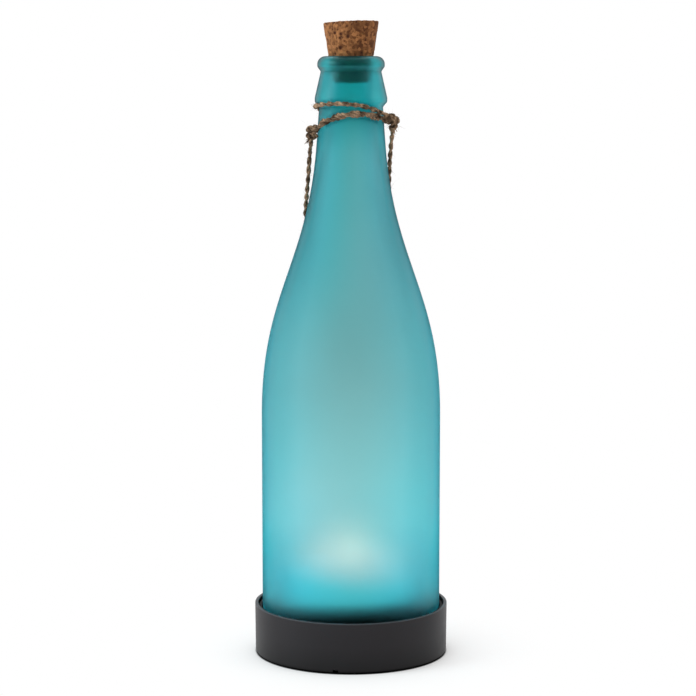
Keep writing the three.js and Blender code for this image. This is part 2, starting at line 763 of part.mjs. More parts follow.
// Light: a hollow post, an LED held under the post's lip, and a clear cap over it.
function makeLight() {
  const corner = (radius, z) => new THREE.Vector2(radius, z);
  piece('led_post', turned([
    corner(postBore, postFoot), corner(postFlangeRadius, postFoot),
    corner(postFlangeRadius, postFoot + postFlange), corner(postRadius, postFoot + postFlange),
    corner(postRadius, postTop), corner(ledRadius + fitGap, postTop),
    corner(ledRadius + fitGap, postTop - postLip), corner(postBore, postTop - postLip),
    corner(postBore, postFoot),
  ], mediumFacets), whitePlastic);
  const bulb = new THREE.Path();
  bulb.moveTo(0, ledBase);
  bulb.lineTo(ledFlangeRadius, ledBase);
  bulb.lineTo(ledFlangeRadius, ledBase + ledFlange);
  bulb.lineTo(ledRadius, ledBase + ledFlange);
  bulb.lineTo(ledRadius, ledTop - ledRadius);
  bulb.absarc(0, ledTop - ledRadius, ledRadius, 0, quarter);
  const leads = [-1, 1].map((side) => disc(
    side * leadSpacing / 2, 0, leadRadius, ledBase - leadLength, ledBase + ledFlange / 2, cordSides,
  ));
  piece('led', joined(turned(pointsAlong(bulb), smallFacets), ...leads), clearPlastic);
  const capLow = postTop + seatGap;
  const hollow = postRadius - lensWall;
  const straight = capLow + lensHeight - postRadius;
  const cap = new THREE.Path();
  cap.moveTo(0, straight + hollow);
  cap.absarc(0, straight, hollow, quarter, 0, true);
  cap.lineTo(hollow, capLow);
  cap.lineTo(postRadius, capLow);
  cap.lineTo(postRadius, straight);
  cap.absarc(0, straight, postRadius, 0, quarter);
  piece('led_lens', turned(pointsAlong(cap), smallFacets), clearPlastic);
}

// Circuit board under the deck, with its parts above and the switch below.
function makeBoard() {
  const plate = upright(0, boardY, boardWidth, boardDepth, boardUnderside, boardTop);
  const holes = boardScrewPlaces.map(([x, y]) => disc(
    x, y, boardScrewRadius + fitGap, boardUnderside - fuse, boardTop + fuse,
  ));
  piece('circuit_board', cut(plate, ...holes), boardGreen);
  const onBoard = boardTop + seatGap;
  piece('controller_chip', upright(
    partX, boardY, chipWidth, chipDepth, onBoard, onBoard + chipHeight,
  ), chipBlack);
  piece('inductor', disc(-partX, boardY, inductorRadius, onBoard, onBoard + inductorHeight), ferrite);
}

// Switch: a housing with a pocket, and a knob that slides along X in it. At rest it is on.
function makeSwitch() {
  const top = boardUnderside - seatGap;
  const low = top - switchHeight;
  const pocketWidth = switchTravel + stemWidth + 2 * fitGap;
  const pocketDepth = stemDepth + 2 * fitGap;
  const pocket = upright(0, boardY, pocketWidth, pocketDepth, low - fuse, low + stemEntry + fitGap);
  const [switchWidth, switchDepth] = [pocketWidth + 2 * switchWall, pocketDepth + 2 * switchWall];
  const housing = upright(0, boardY, switchWidth, switchDepth, low, top);
  piece('switch_housing', cut(housing, pocket), steel);
  const knobX = -switchTravel / 2;
  const cap = upright(knobX, boardY, knobWidth, knobDepth, knobTop - knobCap, knobTop);
  const stem = upright(knobX, boardY, stemWidth, stemDepth, knobTop - fuse, low + stemEntry);
  piece('switch_knob', joined(cap, stem), whitePlastic);
}

// Battery along X, with its contacts: a plate at the nub, and a plate with a cone spring.
function makeBattery() {
  const [radius, body] = [batteryDiameter / 2, batteryLength - nubLength];
  const cell = turned([
    new THREE.Vector2(0, 0), new THREE.Vector2(radius, 0), new THREE.Vector2(radius, body),
    new THREE.Vector2(nubRadius, body), new THREE.Vector2(nubRadius, batteryLength),
    new THREE.Vector2(0, batteryLength),
  ], mediumFacets).rotateY(quarter);
  piece('battery', cell.translate(batteryStart, batteryY, batteryZ), batteryGreen);
  const plate = (x) => upright(
    x, batteryY, contactThickness, contactWidth, ribLow, ribLow + contactHeight,
  );
  piece('positive_contact', plate(positivePlate + contactThickness / 2), steel);
  piece('negative_contact', plate(negativePlate - contactThickness / 2), steel);
  const from = negativePlate + fitGap;
  const to = batteryStart - fitGap;
  const straight = 2 * springWire;
  const path = [];
  const count = springTurns * curlSteps;
  const at = (x, radiusHere, turn) => path.push(new THREE.Vector3(
    x, batteryY + radiusHere * Math.cos(turn), batteryZ + radiusHere * Math.sin(turn),
  ));
  at(from, springOuter, 0);
  for (let step = 0; step <= count; step += 1) {
    const share = step / count;
    const x = THREE.MathUtils.lerp(from + straight, to - straight, share);
    at(x, THREE.MathUtils.lerp(springOuter, springInner, share), share * springTurns * ringTurn);
  }
  at(to, springInner, springTurns * ringTurn);
  const radii = path.map(() => springWire);
  console.log('battery_spring least gap to itself', leastGap(path, radii).toFixed(2), 'mm');
  piece('battery_spring', woundTube(path, radii, curlSides), steel);
}

// Battery door: flush with the cover, with tongues over the cover's edge and a captive screw.
function makeBatteryDoor() {
  const top = coverAboveFloor + doorThickness;
  const [front, back] = [batteryY - doorWidth / 2, batteryY + doorWidth / 2];
  const plate = block(doorHingeX, doorFreeX, front, back, coverAboveFloor, top);
  const tongues = [-1, 1].flatMap((side) => {
    const y = batteryY + side * tongueSpacing / 2;
    const [left, right] = [y - tongueWidth / 2, y + tongueWidth / 2];
    const riser = doorHingeX + tongueThickness;
    return [
      block(doorHingeX, riser, left, right, top - fuse, tongueLow + tongueThickness),
      block(doorHingeX - tongueReach, riser, left, right, tongueLow, tongueLow + tongueThickness),
    ];
  });
  const recess = disc(
    doorScrewX, batteryY, screwHeadRadius + fitGap, coverAboveFloor - fuse,
    coverAboveFloor + screwHeadHeight + seatGap,
  );
  const hole = disc(doorScrewX, batteryY, doorScrewRadius + fitGap, coverAboveFloor - fuse, top + fuse);
  piece('battery_door', cut(joined(plate, ...tongues), recess, hole), charcoal);
  piece('door_screw', screw(
    doorScrewX, batteryY, screwHeadRadius, screwHeadHeight, doorScrewRadius, coverAboveFloor,
    coverTop + doorScrewLength - fitGap,
  ), steel);
}

// Wires, each from what it feeds to the top of the board.
function makeWires() {
  const onBoard = boardTop + fitGap;
  const crown = deckUnderside - fitGap - wireRadius; // highest run, under the deck
  const boardFront = boardY - boardDepth / 2;
  const padY = boardFront + padInset;
  const panelLow = deckTop + padThickness + 2 * seatGap - fitGap;
  const leadEnd = ledBase - leadLength - fitGap;
  const landing = (x) => [
    [x, boardFront, crown], [x, padY - wireRadius, crown - wireRadius], [x, padY, onBoard],
  ];
  const makePair = (name, side, material) => {
    const leadX = side * leadSpacing / 2;
    piece(`led_wire_${name}`, cord([
      [leadX, 0, leadEnd], [leadX, 0, leadEnd - wireLead], [leadX, 0, deckTop],
      [leadX, wireRadius, crown], ...landing(side * ledPadX),
    ], wireRadius, wireSteps), material);
    const panelX = side * panelWireX;
    piece(`panel_wire_${name}`, cord([
      [panelX, panelWireY, panelLow], [panelX, panelWireY, onBoard],
    ], wireRadius, panelWireSteps), material);
    const tabX = (side > 0 ? positivePlate : negativePlate) + side * contactThickness / 2;
    const tabY = batteryY + contactWidth / 2 + fitGap;
    const tabZ = ribLow + contactHeight - 2 * wireRadius;
    const landX = side * (boardWidth / 2 - padInset);
    piece(`battery_wire_${name}`, cord([
      [tabX, tabY, tabZ], [tabX, tabY + wireLead, tabZ], [tabX, 0, crown - wireRadius], ...landing(landX),
    ], wireRadius, wireSteps), material);
  };
  makePair('positive', 1, redWire);
  makePair('negative', -1, blackWire);
}

makeBottle();
makeCork();
makeWinding();
makeKnots();
piece('hanger_twine', cord(hangerRoute, twineRadius, hangerSteps), jute);
makeBaseCup();
makeBottomCover();
makeScrews();
makeSeatRing();
makeSolarPanel();
makeLight();
makeBoard();
makeSwitch();
makeBattery();
makeBatteryDoor();
makeWires();

export default lamp;
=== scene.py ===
"""Solar bottle lamp: a corked bottle of frosted glass in a base cup, with its twine and its light."""
import itertools
from collections import namedtuple
from math import pi, radians, tau

import bpy
import numpy as np
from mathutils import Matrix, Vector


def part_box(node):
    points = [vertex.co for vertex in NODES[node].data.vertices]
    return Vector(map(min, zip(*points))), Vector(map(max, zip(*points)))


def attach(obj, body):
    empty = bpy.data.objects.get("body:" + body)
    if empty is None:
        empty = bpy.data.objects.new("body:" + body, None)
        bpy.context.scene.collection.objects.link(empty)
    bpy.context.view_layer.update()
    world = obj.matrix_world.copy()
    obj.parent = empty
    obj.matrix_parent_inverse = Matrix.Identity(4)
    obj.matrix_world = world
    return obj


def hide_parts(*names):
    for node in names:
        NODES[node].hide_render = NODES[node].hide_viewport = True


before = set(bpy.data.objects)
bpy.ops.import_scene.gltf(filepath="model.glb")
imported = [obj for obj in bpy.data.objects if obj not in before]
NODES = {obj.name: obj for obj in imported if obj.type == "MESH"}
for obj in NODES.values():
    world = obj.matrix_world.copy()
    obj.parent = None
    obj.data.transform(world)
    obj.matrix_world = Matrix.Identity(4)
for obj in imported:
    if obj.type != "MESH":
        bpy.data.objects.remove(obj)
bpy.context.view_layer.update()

bl_info = {
    "name": "Solar bottle lamp",
    "version": (1, 0, 0),
    "blender": (4, 5, 0),
    "location": "View3D > Sidebar > Lamp",
    "description": "Dresses the frame of a solar bottle lamp: glass, cork, twine, base and light",
    "category": "Add Mesh",
}

MM = 0.001
UP, BACK = (0, 0, 1), (0, 1, 0)
FIT_GAP = 0.3 * MM  # loose fit round a piece
SEAT_GAP = 0.1 * MM  # a piece lying flat on another
SOFT_EDGE = 0.15 * MM  # round of the seat ring's and the panel's edges
FOOT_EDGE = 0.3 * MM  # round of the rubber feet's edges

# Heights and radii that the frame gives
(_, _, FOOT_Z), (BODY_RADIUS, _, LIP_Z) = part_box("bottle")
(_, _, CORK_LOW), (_, _, CORK_HIGH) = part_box("cork")
(_, _, SKIRT_Z), (CUP_RADIUS, _, RIM_Z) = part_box("base_cup")
DECK_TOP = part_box("led_post")[0].z - SEAT_GAP
LIGHT_Z = (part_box("led_lens")[0].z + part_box("led_lens")[1].z) / 2

# Like nodes of the frame
FEET = [f"foot_{index}" for index in range(1, 5)]
COVER_SCREWS = [f"cover_screw_{index}" for index in range(1, 4)]
BOARD_SCREWS = [f"board_screw_{index}" for index in range(1, 3)]

# Route of the hanging loop, from the left knot behind the bottle to the right knot, in metres
HANGER_ROUTE = MM * np.array([
    [-17, -1.7, 235.6], [-17.2, -1.6, 232.5], [-17.8, -1.1, 228.5], [-18.4, 0.2, 222], [-18.9, 2.2, 215.2],
    [-19.6, 4.9, 207.6], [-20.3, 8.4, 199], [-19.9, 13.3, 189.5], [-18.8, 19, 180], [-17.2, 24.8, 170],
    [-15, 30, 160], [-12.4, 34.2, 150], [-9, 37.6, 140], [-5, 39.7, 132], [0, 40.7, 128.8],
    [5, 39.8, 131.6], [9, 37.7, 139.5], [12.3, 34.2, 150], [14.6, 30.2, 160], [16.1, 25.5, 170],
    [16.9, 20.6, 180], [17.1, 16.4, 190], [17, 12.9, 200], [17, 9.4, 210], [17.1, 5.6, 218],
    [17.4, 2.4, 225], [17.7, 0.1, 229.5], [18.1, -1.4, 233], [18.2, -1.7, 235.6],
])

# Plain moulded finishes: colour, scale of the grain, roughness, spread of tone and depth where it differs
MOULDED = {
    "white plastic": ((0.78, 0.78, 0.75), 2600, 0.38, 0.12),
    "panel board": ((0.012, 0.016, 0.03), 2000, 0.4, 0.4),
    "foam tape": ((0.09, 0.095, 0.1), 700, 0.95, 0.9, 0.2 * MM),
    "battery sleeve": ((0.045, 0.2, 0.07), 900, 0.3, 0.25),
    "board laminate": ((0.015, 0.11, 0.045), 1800, 0.42, 0.4),
    "chip resin": ((0.012, 0.012, 0.012), 3200, 0.5, 0.3),
    "ferrite": ((0.05, 0.05, 0.053), 2200, 0.6, 0.7),
    "positive wire": ((0.36, 0.014, 0.01), 1200, 0.45, 0.3),
    "negative wire": ((0.012, 0.012, 0.012), 1200, 0.45, 0.3),
}


def linear(red, green, blue):
    """Linear colour of an sRGB colour that is given from 0 to 255."""
    share = np.array([red, green, blue]) / 255
    return tuple(np.where(share <= 0.04045, share / 12.92, ((share + 0.055) / 1.055) ** 2.4))


def size(name, description, millimetres):
    """Length that a user may change."""
    return bpy.props.FloatProperty(
        name=name, description=description, default=millimetres * MM, unit="LENGTH", precision=5)


def colour(name, description, red, green, blue):
    """Colour that a user may change, given as sRGB from 0 to 255."""
    return bpy.props.FloatVectorProperty(
        name=name, description=description, default=linear(red, green, blue), subtype="COLOR", size=3,
        min=0, max=1)


class BottleSizes(bpy.types.PropertyGroup):
    """Sizes of the bottle's outline. Drops are measured down from the lip's top."""
    glass_wall: size("Glass wall", "Thickness of the body's wall", 3)
    heel_radius: size("Heel radius", "Round between the body and the foot", 5)
    foot_ring: size("Foot ring", "Width of the ring that the bottle stands on", 5)
    punt_depth: size("Hollow foot", "Depth of the hollow under the bottle", 36)
    punt_side: size("Hollow foot, side", "Height of the hollow's straight side", 19)
    punt_taper: size("Hollow foot, taper", "How far that side leans inwards", 2.5)
    inner_heel: size("Inner heel", "Round inside, beside the hollow foot", 1.6)
    shoulder_start: size("Shoulder start", "Height of the straight body above the foot", 91.2)
    shoulder_handle: size("Shoulder fullness", "How far the shoulder keeps to the body's line", 55.5)
    neck_handle: size("Neck fullness", "How far the shoulder keeps to the neck's line", 55)
    neck_root_drop: size("Neck root drop", "Where the neck's straight run starts", 37.3)
    neck_root_radius: size("Neck root radius", "Neck's radius at its root", 15.15)
    neck_top_radius: size("Neck top radius", "Neck's radius under the collar", 14.1)
    collar_drop: size("Collar drop", "Lower edge of the collar's upright face", 20)
    collar_face: size("Collar face", "Height of the collar's upright face", 1.8)
    collar_flare: size("Collar flare", "Height of the flare below the collar", 2.2)
    collar_radius: size("Collar radius", "Widest radius of the collar", 16)
    groove_drop: size("Groove drop", "Middle of the groove below the lip", 6.7)
    groove_radius: size("Groove radius", "Radius in the groove", 13.35)
    lip_drop: size("Lip drop", "Lower edge of the lip's upright face", 4.6)
    lip_face: size("Lip face", "Height of the lip's upright face", 1.2)
    lip_radius: size("Lip radius", "Radius of the lip", 14.85)
    lip_flat: size("Lip flat", "Flat width of the lip's top", 0.3)
    mouth_round: size("Mouth round", "Round at the mouth's edge", 0.6)
    bore_radius: size("Bore radius", "Radius of the neck's bore", 10.2)
    melt: size("Edge melt", "How far moulded edges have flowed round", 0.28)


class TwineSizes(bpy.types.PropertyGroup):
    """Sizes of the jute twine, its winding and its knots. Drops are measured down from the lip's top."""
    radius: size("Twine radius", "Radius of one twine", 1.05)
    pitch: size("Twist", "Length of one full twist of the plies", 8.4)
    doubled_radius: size("Doubled radius", "Radius of two twines run together", 1.65)
    doubled_pitch: size("Doubled twist", "Length of one twist of the two twines", 17)
    play: size("Play", "Gap between the twine and the glass", 0.15)
    shade_width: size("Shade width", "How far the winding's shade reaches on the glass", 1)
    lower_front_drop: size("Lower front drop", "Lower run where it crosses the front", 25.2)
    lower_right_drop: size("Lower right drop", "Lower run at the right", 28.6)
    back_drop: size("Back drop", "Winding at the back", 26.4)
    upper_left_drop: size("Upper left drop", "Upper run at the left", 22.2)
    upper_front_drop: size("Upper front drop", "Upper run where it crosses the front", 20.9)
    knot_forward: size("Knots forward", "Both knots in front of the bottle's axis", 5.3)
    knot_reach: size("Knot reach", "Radius of the path that a knot is tied on", 1.75)
    left_knot_drop: size("Left knot drop", "Height of the left knot", 33.3)
    left_knot_off: size("Left knot off", "Left knot's distance from the glass", 3.1)
    right_knot_drop: size("Right knot drop", "Height of the right knot's lower turn", 30.4)
    right_knot_off: size("Right knot off", "Right knot's distance from the glass", 4.7)
    right_knot_rise: size("Right knot rise", "Upper turn of the right knot above the lower one", 3.2)
    tail_length: size("Tail length", "Frayed end beyond a knot", 3.3)
    strand_radius: size("Strand radius", "Radius of a strand of a frayed end", 0.42)
    hair_length: size("Hair length", "Usual length of a loose fibre", 1.7)
    hair_radius: size("Hair radius", "Radius of a loose fibre at its root", 0.045)


class BaseSizes(bpy.types.PropertyGroup):
    """Sizes of the cork, the base and the light."""
    cork_top: size("Cork top radius", "Radius at the cork's top", 12.2)
    cork_bottom: size("Cork bottom radius", "Radius at the cork's bottom", 8)
    cork_edge: size("Cork edge", "Worn round of the cork's edges", 0.7)
    cork_slope: size("Cork slope", "How far the cork's top leans down at the left", 0.45)
    cork_crown: size("Cork crown", "Rise of the cork's top in the middle", 0.4)
    pore_depth: size("Pore depth", "Depth of the cork's deepest pores", 0.55)
    cup_wall: size("Cup wall", "Thickness of the cup's wall", 1.5)
    cup_draft: size("Cup draft", "How much narrower the cup's lower edge is", 0.2)
    cup_edge: size("Cup edge", "Round of the cup's moulded edges", 0.22)
    deck: size("Deck", "Thickness of the deck across the cup", 1.5)
    ledge_low: size("Ledge height", "Underside of the ledge that presses the seal", 4.3)
    ledge_thickness: size("Ledge thickness", "Thickness of that ledge", 1.5)
    ledge_width: size("Ledge width", "Width of that ledge", 2.5)
    notch_width: size("Notch width", "Small notch in the skirt's lower edge", 2.6)
    notch_height: size("Notch height", "Height of that notch", 1.1)
    notch_offset: size("Notch offset", "Notch to the left of the middle", 6.9)
    boss_radius: size("Boss radius", "Bosses that the screws go into", 3.5)
    boss_short: size("Boss gap", "How far those bosses stay above the cover", 8)
    board_boss_radius: size("Board boss radius", "Bosses that carry the circuit board", 2.5)
    boss_root: size("Boss root", "How far bosses and ribs reach into the deck", 0.5)
    rib: size("Rib", "Thickness of the ribs at the battery's ends, and reach of its cradles", 1.5)
    cradle_drop: size("Cradle drop", "How far the battery's cradles hang below the deck", 5)
    wall_ease: size("Edge ease", "Small bevel on flat moulded pieces", 0.18)
    seat_inset: size("Seat inset", "How much wider the seat ring's hole is than the hollow foot", 1.5)
    cell_rise: size("Cell rise", "How far the solar cells stand above their board", 0.25)
    cell_inner_margin: size("Cell inner margin", "Bare board inside the solar cells", 1.2)
    cell_outer_margin: size("Cell outer margin", "Bare board outside the solar cells", 1)
    lens_wall: size("Cap wall", "Wall of the clear cap, and depth of the LED's seat", 1.6)


class LampColours(bpy.types.PropertyGroup):
    """Colours of the lamp's finishes, and of the light and shade painted on them."""
    # Painted shade: the glass darkened where it stands inside the cup.
    glass_foot_painted_shade: colour("Glass, foot", "Shaded glass that stands inside the cup", 33, 38, 50)
    # Painted light: glass_low_painted_light and glass_glow tint the glass brighter beside and above the
    # LED.
    glass_low_painted_light: colour("Glass, lit", "Glass beside the light", 164, 232, 240)
    glass_glow: colour("Glass, above", "Glass above the light", 200, 247, 249)
    glass_body: colour("Glass, body", "Tint of the glass in the body's thin wall", 184, 227, 229)
    glass_neck: colour("Glass, neck", "Tint of the glass in the thicker neck", 154, 218, 221)
    glass_finish: colour("Glass, collar", "Tint of the glass in the solid collar and lip", 70, 200, 202)
    # Painted light: glow, glow_edge, groove, the collar's glow and glow_low are glowing colours on the
    # glass and the cap that stand in for the LED's light; groove is a painted highlight under the lip.
    glow: colour("Glow", "Light that the LED throws on the hollow foot", 255, 158, 138)
    glow_edge: colour("Glow, outline", "Warm outline of the lit cap", 128, 70, 42)
    groove: colour("Groove", "Light that gathers under the lip", 24, 72, 78)
    collar_painted_glow: colour("Collar haze", "Light that the frosted collar scatters over the cork", 0, 30, 34)
    glow_low: colour("Glow, low", "Light that the glass of the hollow foot carries down", 84, 158, 158)
    cork_light: colour("Cork, light", "Pale grains of the cork", 166, 110, 66)
    cork_dark: colour("Cork, dark", "Brown grains of the cork", 82, 44, 16)
    # Dark cork in the pores, with painted shade of their depth.
    cork_pit: colour("Cork, pits", "Depth of the cork's pores", 60, 26, 8)
    jute_light: colour("Jute, light", "Sunlit fibres of the twine", 186, 152, 122)
    jute_dark: colour("Jute, dark", "Fibres in the twine's folds", 36, 24, 14)
    charcoal: colour("Charcoal plastic", "Plastic of the cup", 35, 33, 36)
    # Painted shade: the cup's charcoal plastic darkened for the cover and the door underneath.
    cover: colour("Cover", "Charcoal plastic of the cover and the battery door, in the shade", 12, 12, 13)
    # Painted highlight: the rim's top, paler where it catches the light.
    rim: colour("Rim", "Pale edge of the cup's rim", 64, 66, 70)
    rubber: colour("Rubber", "Seat ring, seal and feet", 16, 16, 17)
    cell: colour("Solar cell", "Cells of the solar panel", 16, 26, 54)


Skin = namedtuple("Skin", "points faces laid")


def skin(rows, start=None, end=None, closed=False, laid=None):
    """Skin over rings of points. Quads join neighbouring rings, and each ring closes on itself. A start
    or end point closes that end with a fan; closed joins the last ring to the first."""
    count, sides = rows.shape[:2]
    laid = rows if laid is None else laid
    index = np.arange(count * sides).reshape(count, sides)
    lower = index if closed else index[:-1]
    upper = np.roll(index, -1, 0) if closed else index[1:]
    quads = np.stack([lower, np.roll(lower, -1, 1), np.roll(upper, -1, 1), upper], -1)
    points, faces, notes = [rows.reshape(-1, 3)], quads.reshape(-1, 4).tolist(), [laid.reshape(-1, 3)]
    total = count * sides
    for pole, row, way in ((start, 0, -1), (end, -1, 1)):
        if pole is None:
            continue
        ring = index[row], np.roll(index[row], -1)
        faces += np.stack([np.full(sides, total), *ring[::way]], -1).tolist()
        points.append(np.reshape(pole, (1, 3)))
        notes.append(laid[row].mean(0, keepdims=True))
        total += 1
    return Skin(np.vstack(points), faces, np.vstack(notes))


def around(count):
    """Evenly spaced angles of one turn."""
    return np.linspace(0, tau, count, endpoint=False)


def polar(radius, angles, height):
    """Grid of the points (r cos a, r sin a, z)."""
    return np.stack(np.broadcast_arrays(radius * np.cos(angles), radius * np.sin(angles), height), -1)


def turned(outline, angles, closed=False):
    """Surface of revolution of the outline's (r, z). An outline that runs up on the outside faces
    outwards. Ends on the axis become poles."""
    on_axis = outline[:, 0] < 1e-7
    start, end = ([0, 0, outline[row, 1]] if on_axis[row] and not closed else None for row in (0, -1))
    radius, height = outline[~on_axis].T[..., None]
    return skin(polar(radius, angles, height), start, end, closed)


def moved(part, offset):
    """Skin shifted by an offset."""
    return part._replace(points=part.points + np.asarray(offset))


def lengths(path):
    """Length along a path at each of its points."""
    return np.r_[0, np.cumsum(np.linalg.norm(np.diff(path, axis=0), axis=1))]


def evenly(path, step):
    """Path with its points a step apart along its length."""
    run = lengths(path)
    places = np.linspace(0, run[-1], max(2, round(run[-1] / step) + 1))
    return np.column_stack([np.interp(places, run, axis) for axis in path.T])


def spline(points, step, fine=24):
    """Smooth path through points: between two of them a cubic whose slope at each is half the chord of
    its neighbours, sampled evenly along its length."""
    points = np.asarray(points, float)
    padded = np.vstack([2 * points[0] - points[1], points, 2 * points[-1] - points[-2]])
    before, here, there, after = (padded[i:len(padded) - 3 + i, None] for i in range(4))
    t = np.linspace(0, 1, fine, endpoint=False)[None, :, None]
    curve = here + t * ((there - before) / 2 + t * (
        before - 2.5 * here + 2 * there - after / 2 + t * (1.5 * (here - there) + (after - before) / 2)))
    return evenly(np.vstack([curve.reshape(-1, points.shape[1]), points[-1]]), step)


def arc(centre, reach, first, last, count=24):
    """Run of an ellipse: centre + (a cos t, b sin t) from angle first to last."""
    t = np.linspace(first, last, count)
    return np.column_stack([centre[0] + reach[0] * np.cos(t), centre[1] + reach[1] * np.sin(t)])


def bezier(start, leave, arrive, end, count=60):
    """Cubic curve from start to end that leaves and arrives towards its two handles."""
    t = np.linspace(0, 1, count)[:, None]
    start, leave, arrive, end = (np.array(p) for p in (start, leave, arrive, end))
    return (1 - t) ** 3 * start + 3 * (1 - t) ** 2 * t * leave + 3 * (1 - t) * t * t * arrive + t ** 3 * end


def softened(outline, width, step=0.12 * MM, closed=False):
    """Outline with its corners rounded: evenly sampled and averaged with a bell of the given width."""
    path = evenly(np.vstack([outline, outline[:1]]) if closed else np.asarray(outline), step)
    path = path[:-1] if closed else path
    half = int(4 * width / step)
    bell = np.exp(-0.5 * (np.arange(-half, half + 1) * step / width) ** 2)
    bell /= bell.sum()
    lead, follow = path[-half:], path[:half]
    if not closed:
        lead, follow = 2 * path[0] - path[half:0:-1], 2 * path[-1] - path[-2:-half - 2:-1]
    return np.column_stack([np.convolve(axis, bell, "valid") for axis in np.vstack([lead, path, follow]).T])


def thinned(outline, count, bend_share=0.7, crowd=None):
    """Rows of an outline, close together where it bends: equal steps of a sum of length and turning. A
    fifth of the rows goes to where crowd is set."""
    slope = np.unwrap(np.arctan2(*np.gradient(outline, axis=0).T[::-1]))
    bend = np.r_[0, np.cumsum(np.abs(np.diff(slope)))]
    run = lengths(outline)
    weight = (1 - bend_share) * run / run[-1] + bend_share * bend / max(bend[-1], 1e-9)
    if crowd is not None:
        weight = 0.8 * weight + 0.2 * np.cumsum(crowd) / crowd.sum()
    index = np.arange(len(outline))
    pick = np.interp(np.linspace(0, 1, count), weight, index)
    return np.column_stack([np.interp(pick, index, axis) for axis in outline.T])


def lathe(corners, edge, rows, angles, closed=False, bend_share=0.7):
    """Turned piece whose outline has softened edges: a closed section, or a line with its ends on the
    axis."""
    outline = softened(corners, edge, closed=closed)
    if not closed:
        outline[[0, -1], 0] = 0
    return turned(thinned(outline, rows, bend_share), angles, closed)


def post(centre, radius, low, high, edge, sides=48):
    """Upright round bar with rounded edges."""
    outline = [[0, low], [radius, low], [radius, high], [0, high]]
    return moved(lathe(outline, edge, 24, around(sides)), (centre[0], centre[1], 0))


def slab(low, high, edge):
    """Block with rounded upright edges: a rounded rectangle carried up its height."""
    (x0, y0, z0), (x1, y1, z1) = low, high
    corners = np.array([[x0, y0], [x1, y0], [x1, y1], [x0, y1]])
    outline = thinned(softened(corners, edge, closed=True), 60)
    rows = np.stack([np.column_stack([outline, np.full(len(outline), z)]) for z in (z0, z1)])
    middle = corners.mean(0)
    return skin(rows, [*middle, z0], [*middle, z1])


def unit(vectors):
    """Vectors of length one."""
    return vectors / np.linalg.norm(vectors, axis=-1, keepdims=True)


def frames(path, toward):
    """Tangent, normal and binormal along a path. The normal is what of toward is square to the path."""
    tangent = unit(np.gradient(path, axis=0))
    toward = np.broadcast_to(np.asarray(toward, float), path.shape)
    normal = unit(toward - (toward * tangent).sum(1, keepdims=True) * tangent)
    return tangent, normal, np.cross(tangent, normal)


def spiral(path, turn, toward):
    """Unit vectors square to a path that stand at an angle, turn, to its normal."""
    _, normal, binormal = frames(path, toward)
    return np.cos(turn)[:, None] * normal + np.sin(turn)[:, None] * binormal


def tube(path, radius, toward, sides):
    """Round profile carried along a path: path + radius (cos a normal + sin a binormal). Its laid places
    are those of the same tube pulled straight along Z."""
    radius = np.broadcast_to(radius, len(path))[:, None]
    _, normal, binormal = frames(path, toward)
    angles = around(sides)
    across, up = radius * np.cos(angles), radius * np.sin(angles)
    rows = path[:, None] + across[..., None] * normal[:, None] + up[..., None] * binormal[:, None]
    run = np.broadcast_to(lengths(path)[:, None], across.shape)
    return skin(rows, path[0], path[-1], laid=np.stack([across, up, run], -1))


def plied(path, radius, pitch, toward, rng, sides=10, plies=2):
    """Twine: plies that wind round a path, each at 0.46 of the radius from it and turning once a pitch.
    Each ply is a tube whose radius wanders a little along its length."""
    run = lengths(path)
    tuft = 1.1 * MM
    knots = np.linspace(0, run[-1], max(4, int(run[-1] / tuft)))
    slack = rng.normal(0, 0.06, len(knots))
    skins = []
    for ply in range(plies):
        out = spiral(path, tau * (run / pitch + ply / plies + np.interp(run, knots, slack)), toward)
        wander = np.interp(run, knots, rng.normal(1, 0.1, len(knots)))
        skins.append(tube(path + 0.46 * radius * out, 0.56 * radius * wander, -out, sides))
    return skins


def fuzz(path, radius, toward, twine, rng, per_metre=2600, rings=5, sides=3):
    """Loose fibres: thin three-sided cones that leave the twine's surface, lean along it and curl
    away: root + L (t lean + t^2 curl), with t from 0 to 1."""
    count = int(per_metre * lengths(path)[-1])
    tangent, normal, binormal = frames(path, toward)
    at = rng.integers(0, len(path), count)
    turn = rng.uniform(0, tau, count)[:, None]
    out = np.cos(turn) * normal[at] + np.sin(turn) * binormal[at]
    side = np.cross(tangent[at], out)
    way = tangent[at] * rng.choice([-1, 1], count)[:, None]
    lean = unit(way + 0.55 * out + 0.3 * rng.normal(size=(count, 3)))
    curl = 0.5 * out + 0.6 * side * rng.normal(size=(count, 1)) - 0.2 * way
    long = twine.hair_length * rng.gamma(4, 0.25, count)[:, None, None]
    t = np.linspace(0, 1, rings)[None, :, None]
    line = (path[at] + 0.85 * radius * out)[:, None] + long * (t * lean[:, None] + t * t * curl[:, None])
    angles = around(sides)[None, None, :, None]
    ring = np.cos(angles) * side[:, None, None] + np.sin(angles) * out[:, None, None]
    points = (line[:, :, None] + twine.hair_radius * (1.02 - t[..., None]) * ring).reshape(-1, 3)
    index = np.arange(len(points)).reshape(count, rings, sides)
    low, high = index[:, :-1], index[:, 1:]
    quads = np.stack([low, np.roll(low, -1, 2), np.roll(high, -1, 2), high], -1).reshape(-1, 4)
    ends = np.concatenate([index[:, 0, ::-1], index[:, -1]])
    return Skin(points, quads.tolist() + ends.tolist(), points)


def value_noise(points, cell, seed):
    """Smooth random field from 0 to 1: random values on a cubic lattice, eased between its corners. A
    corner's value is scrambled from its whole-number place and the seed."""
    scaled = points / cell
    base = np.floor(scaled).astype(np.int64)
    part = scaled - base
    part = part * part * (3 - 2 * part)
    total = np.zeros(len(points))
    limit = 1 << 31
    for corner in itertools.product((0, 1), repeat=3):
        key = ((base + corner) @ np.array([73856093, 19349663, 83492791]) + seed * 2654435761) % limit
        value = (key * 1103515245 + 12345) % limit / limit
        total += value * np.prod(np.where(corner, part, 1 - part), axis=1)
    return total


def shown(name, data):
    """New object in the scene."""
    item = bpy.data.objects.new(name, data)
    bpy.context.scene.collection.objects.link(item)
    return item


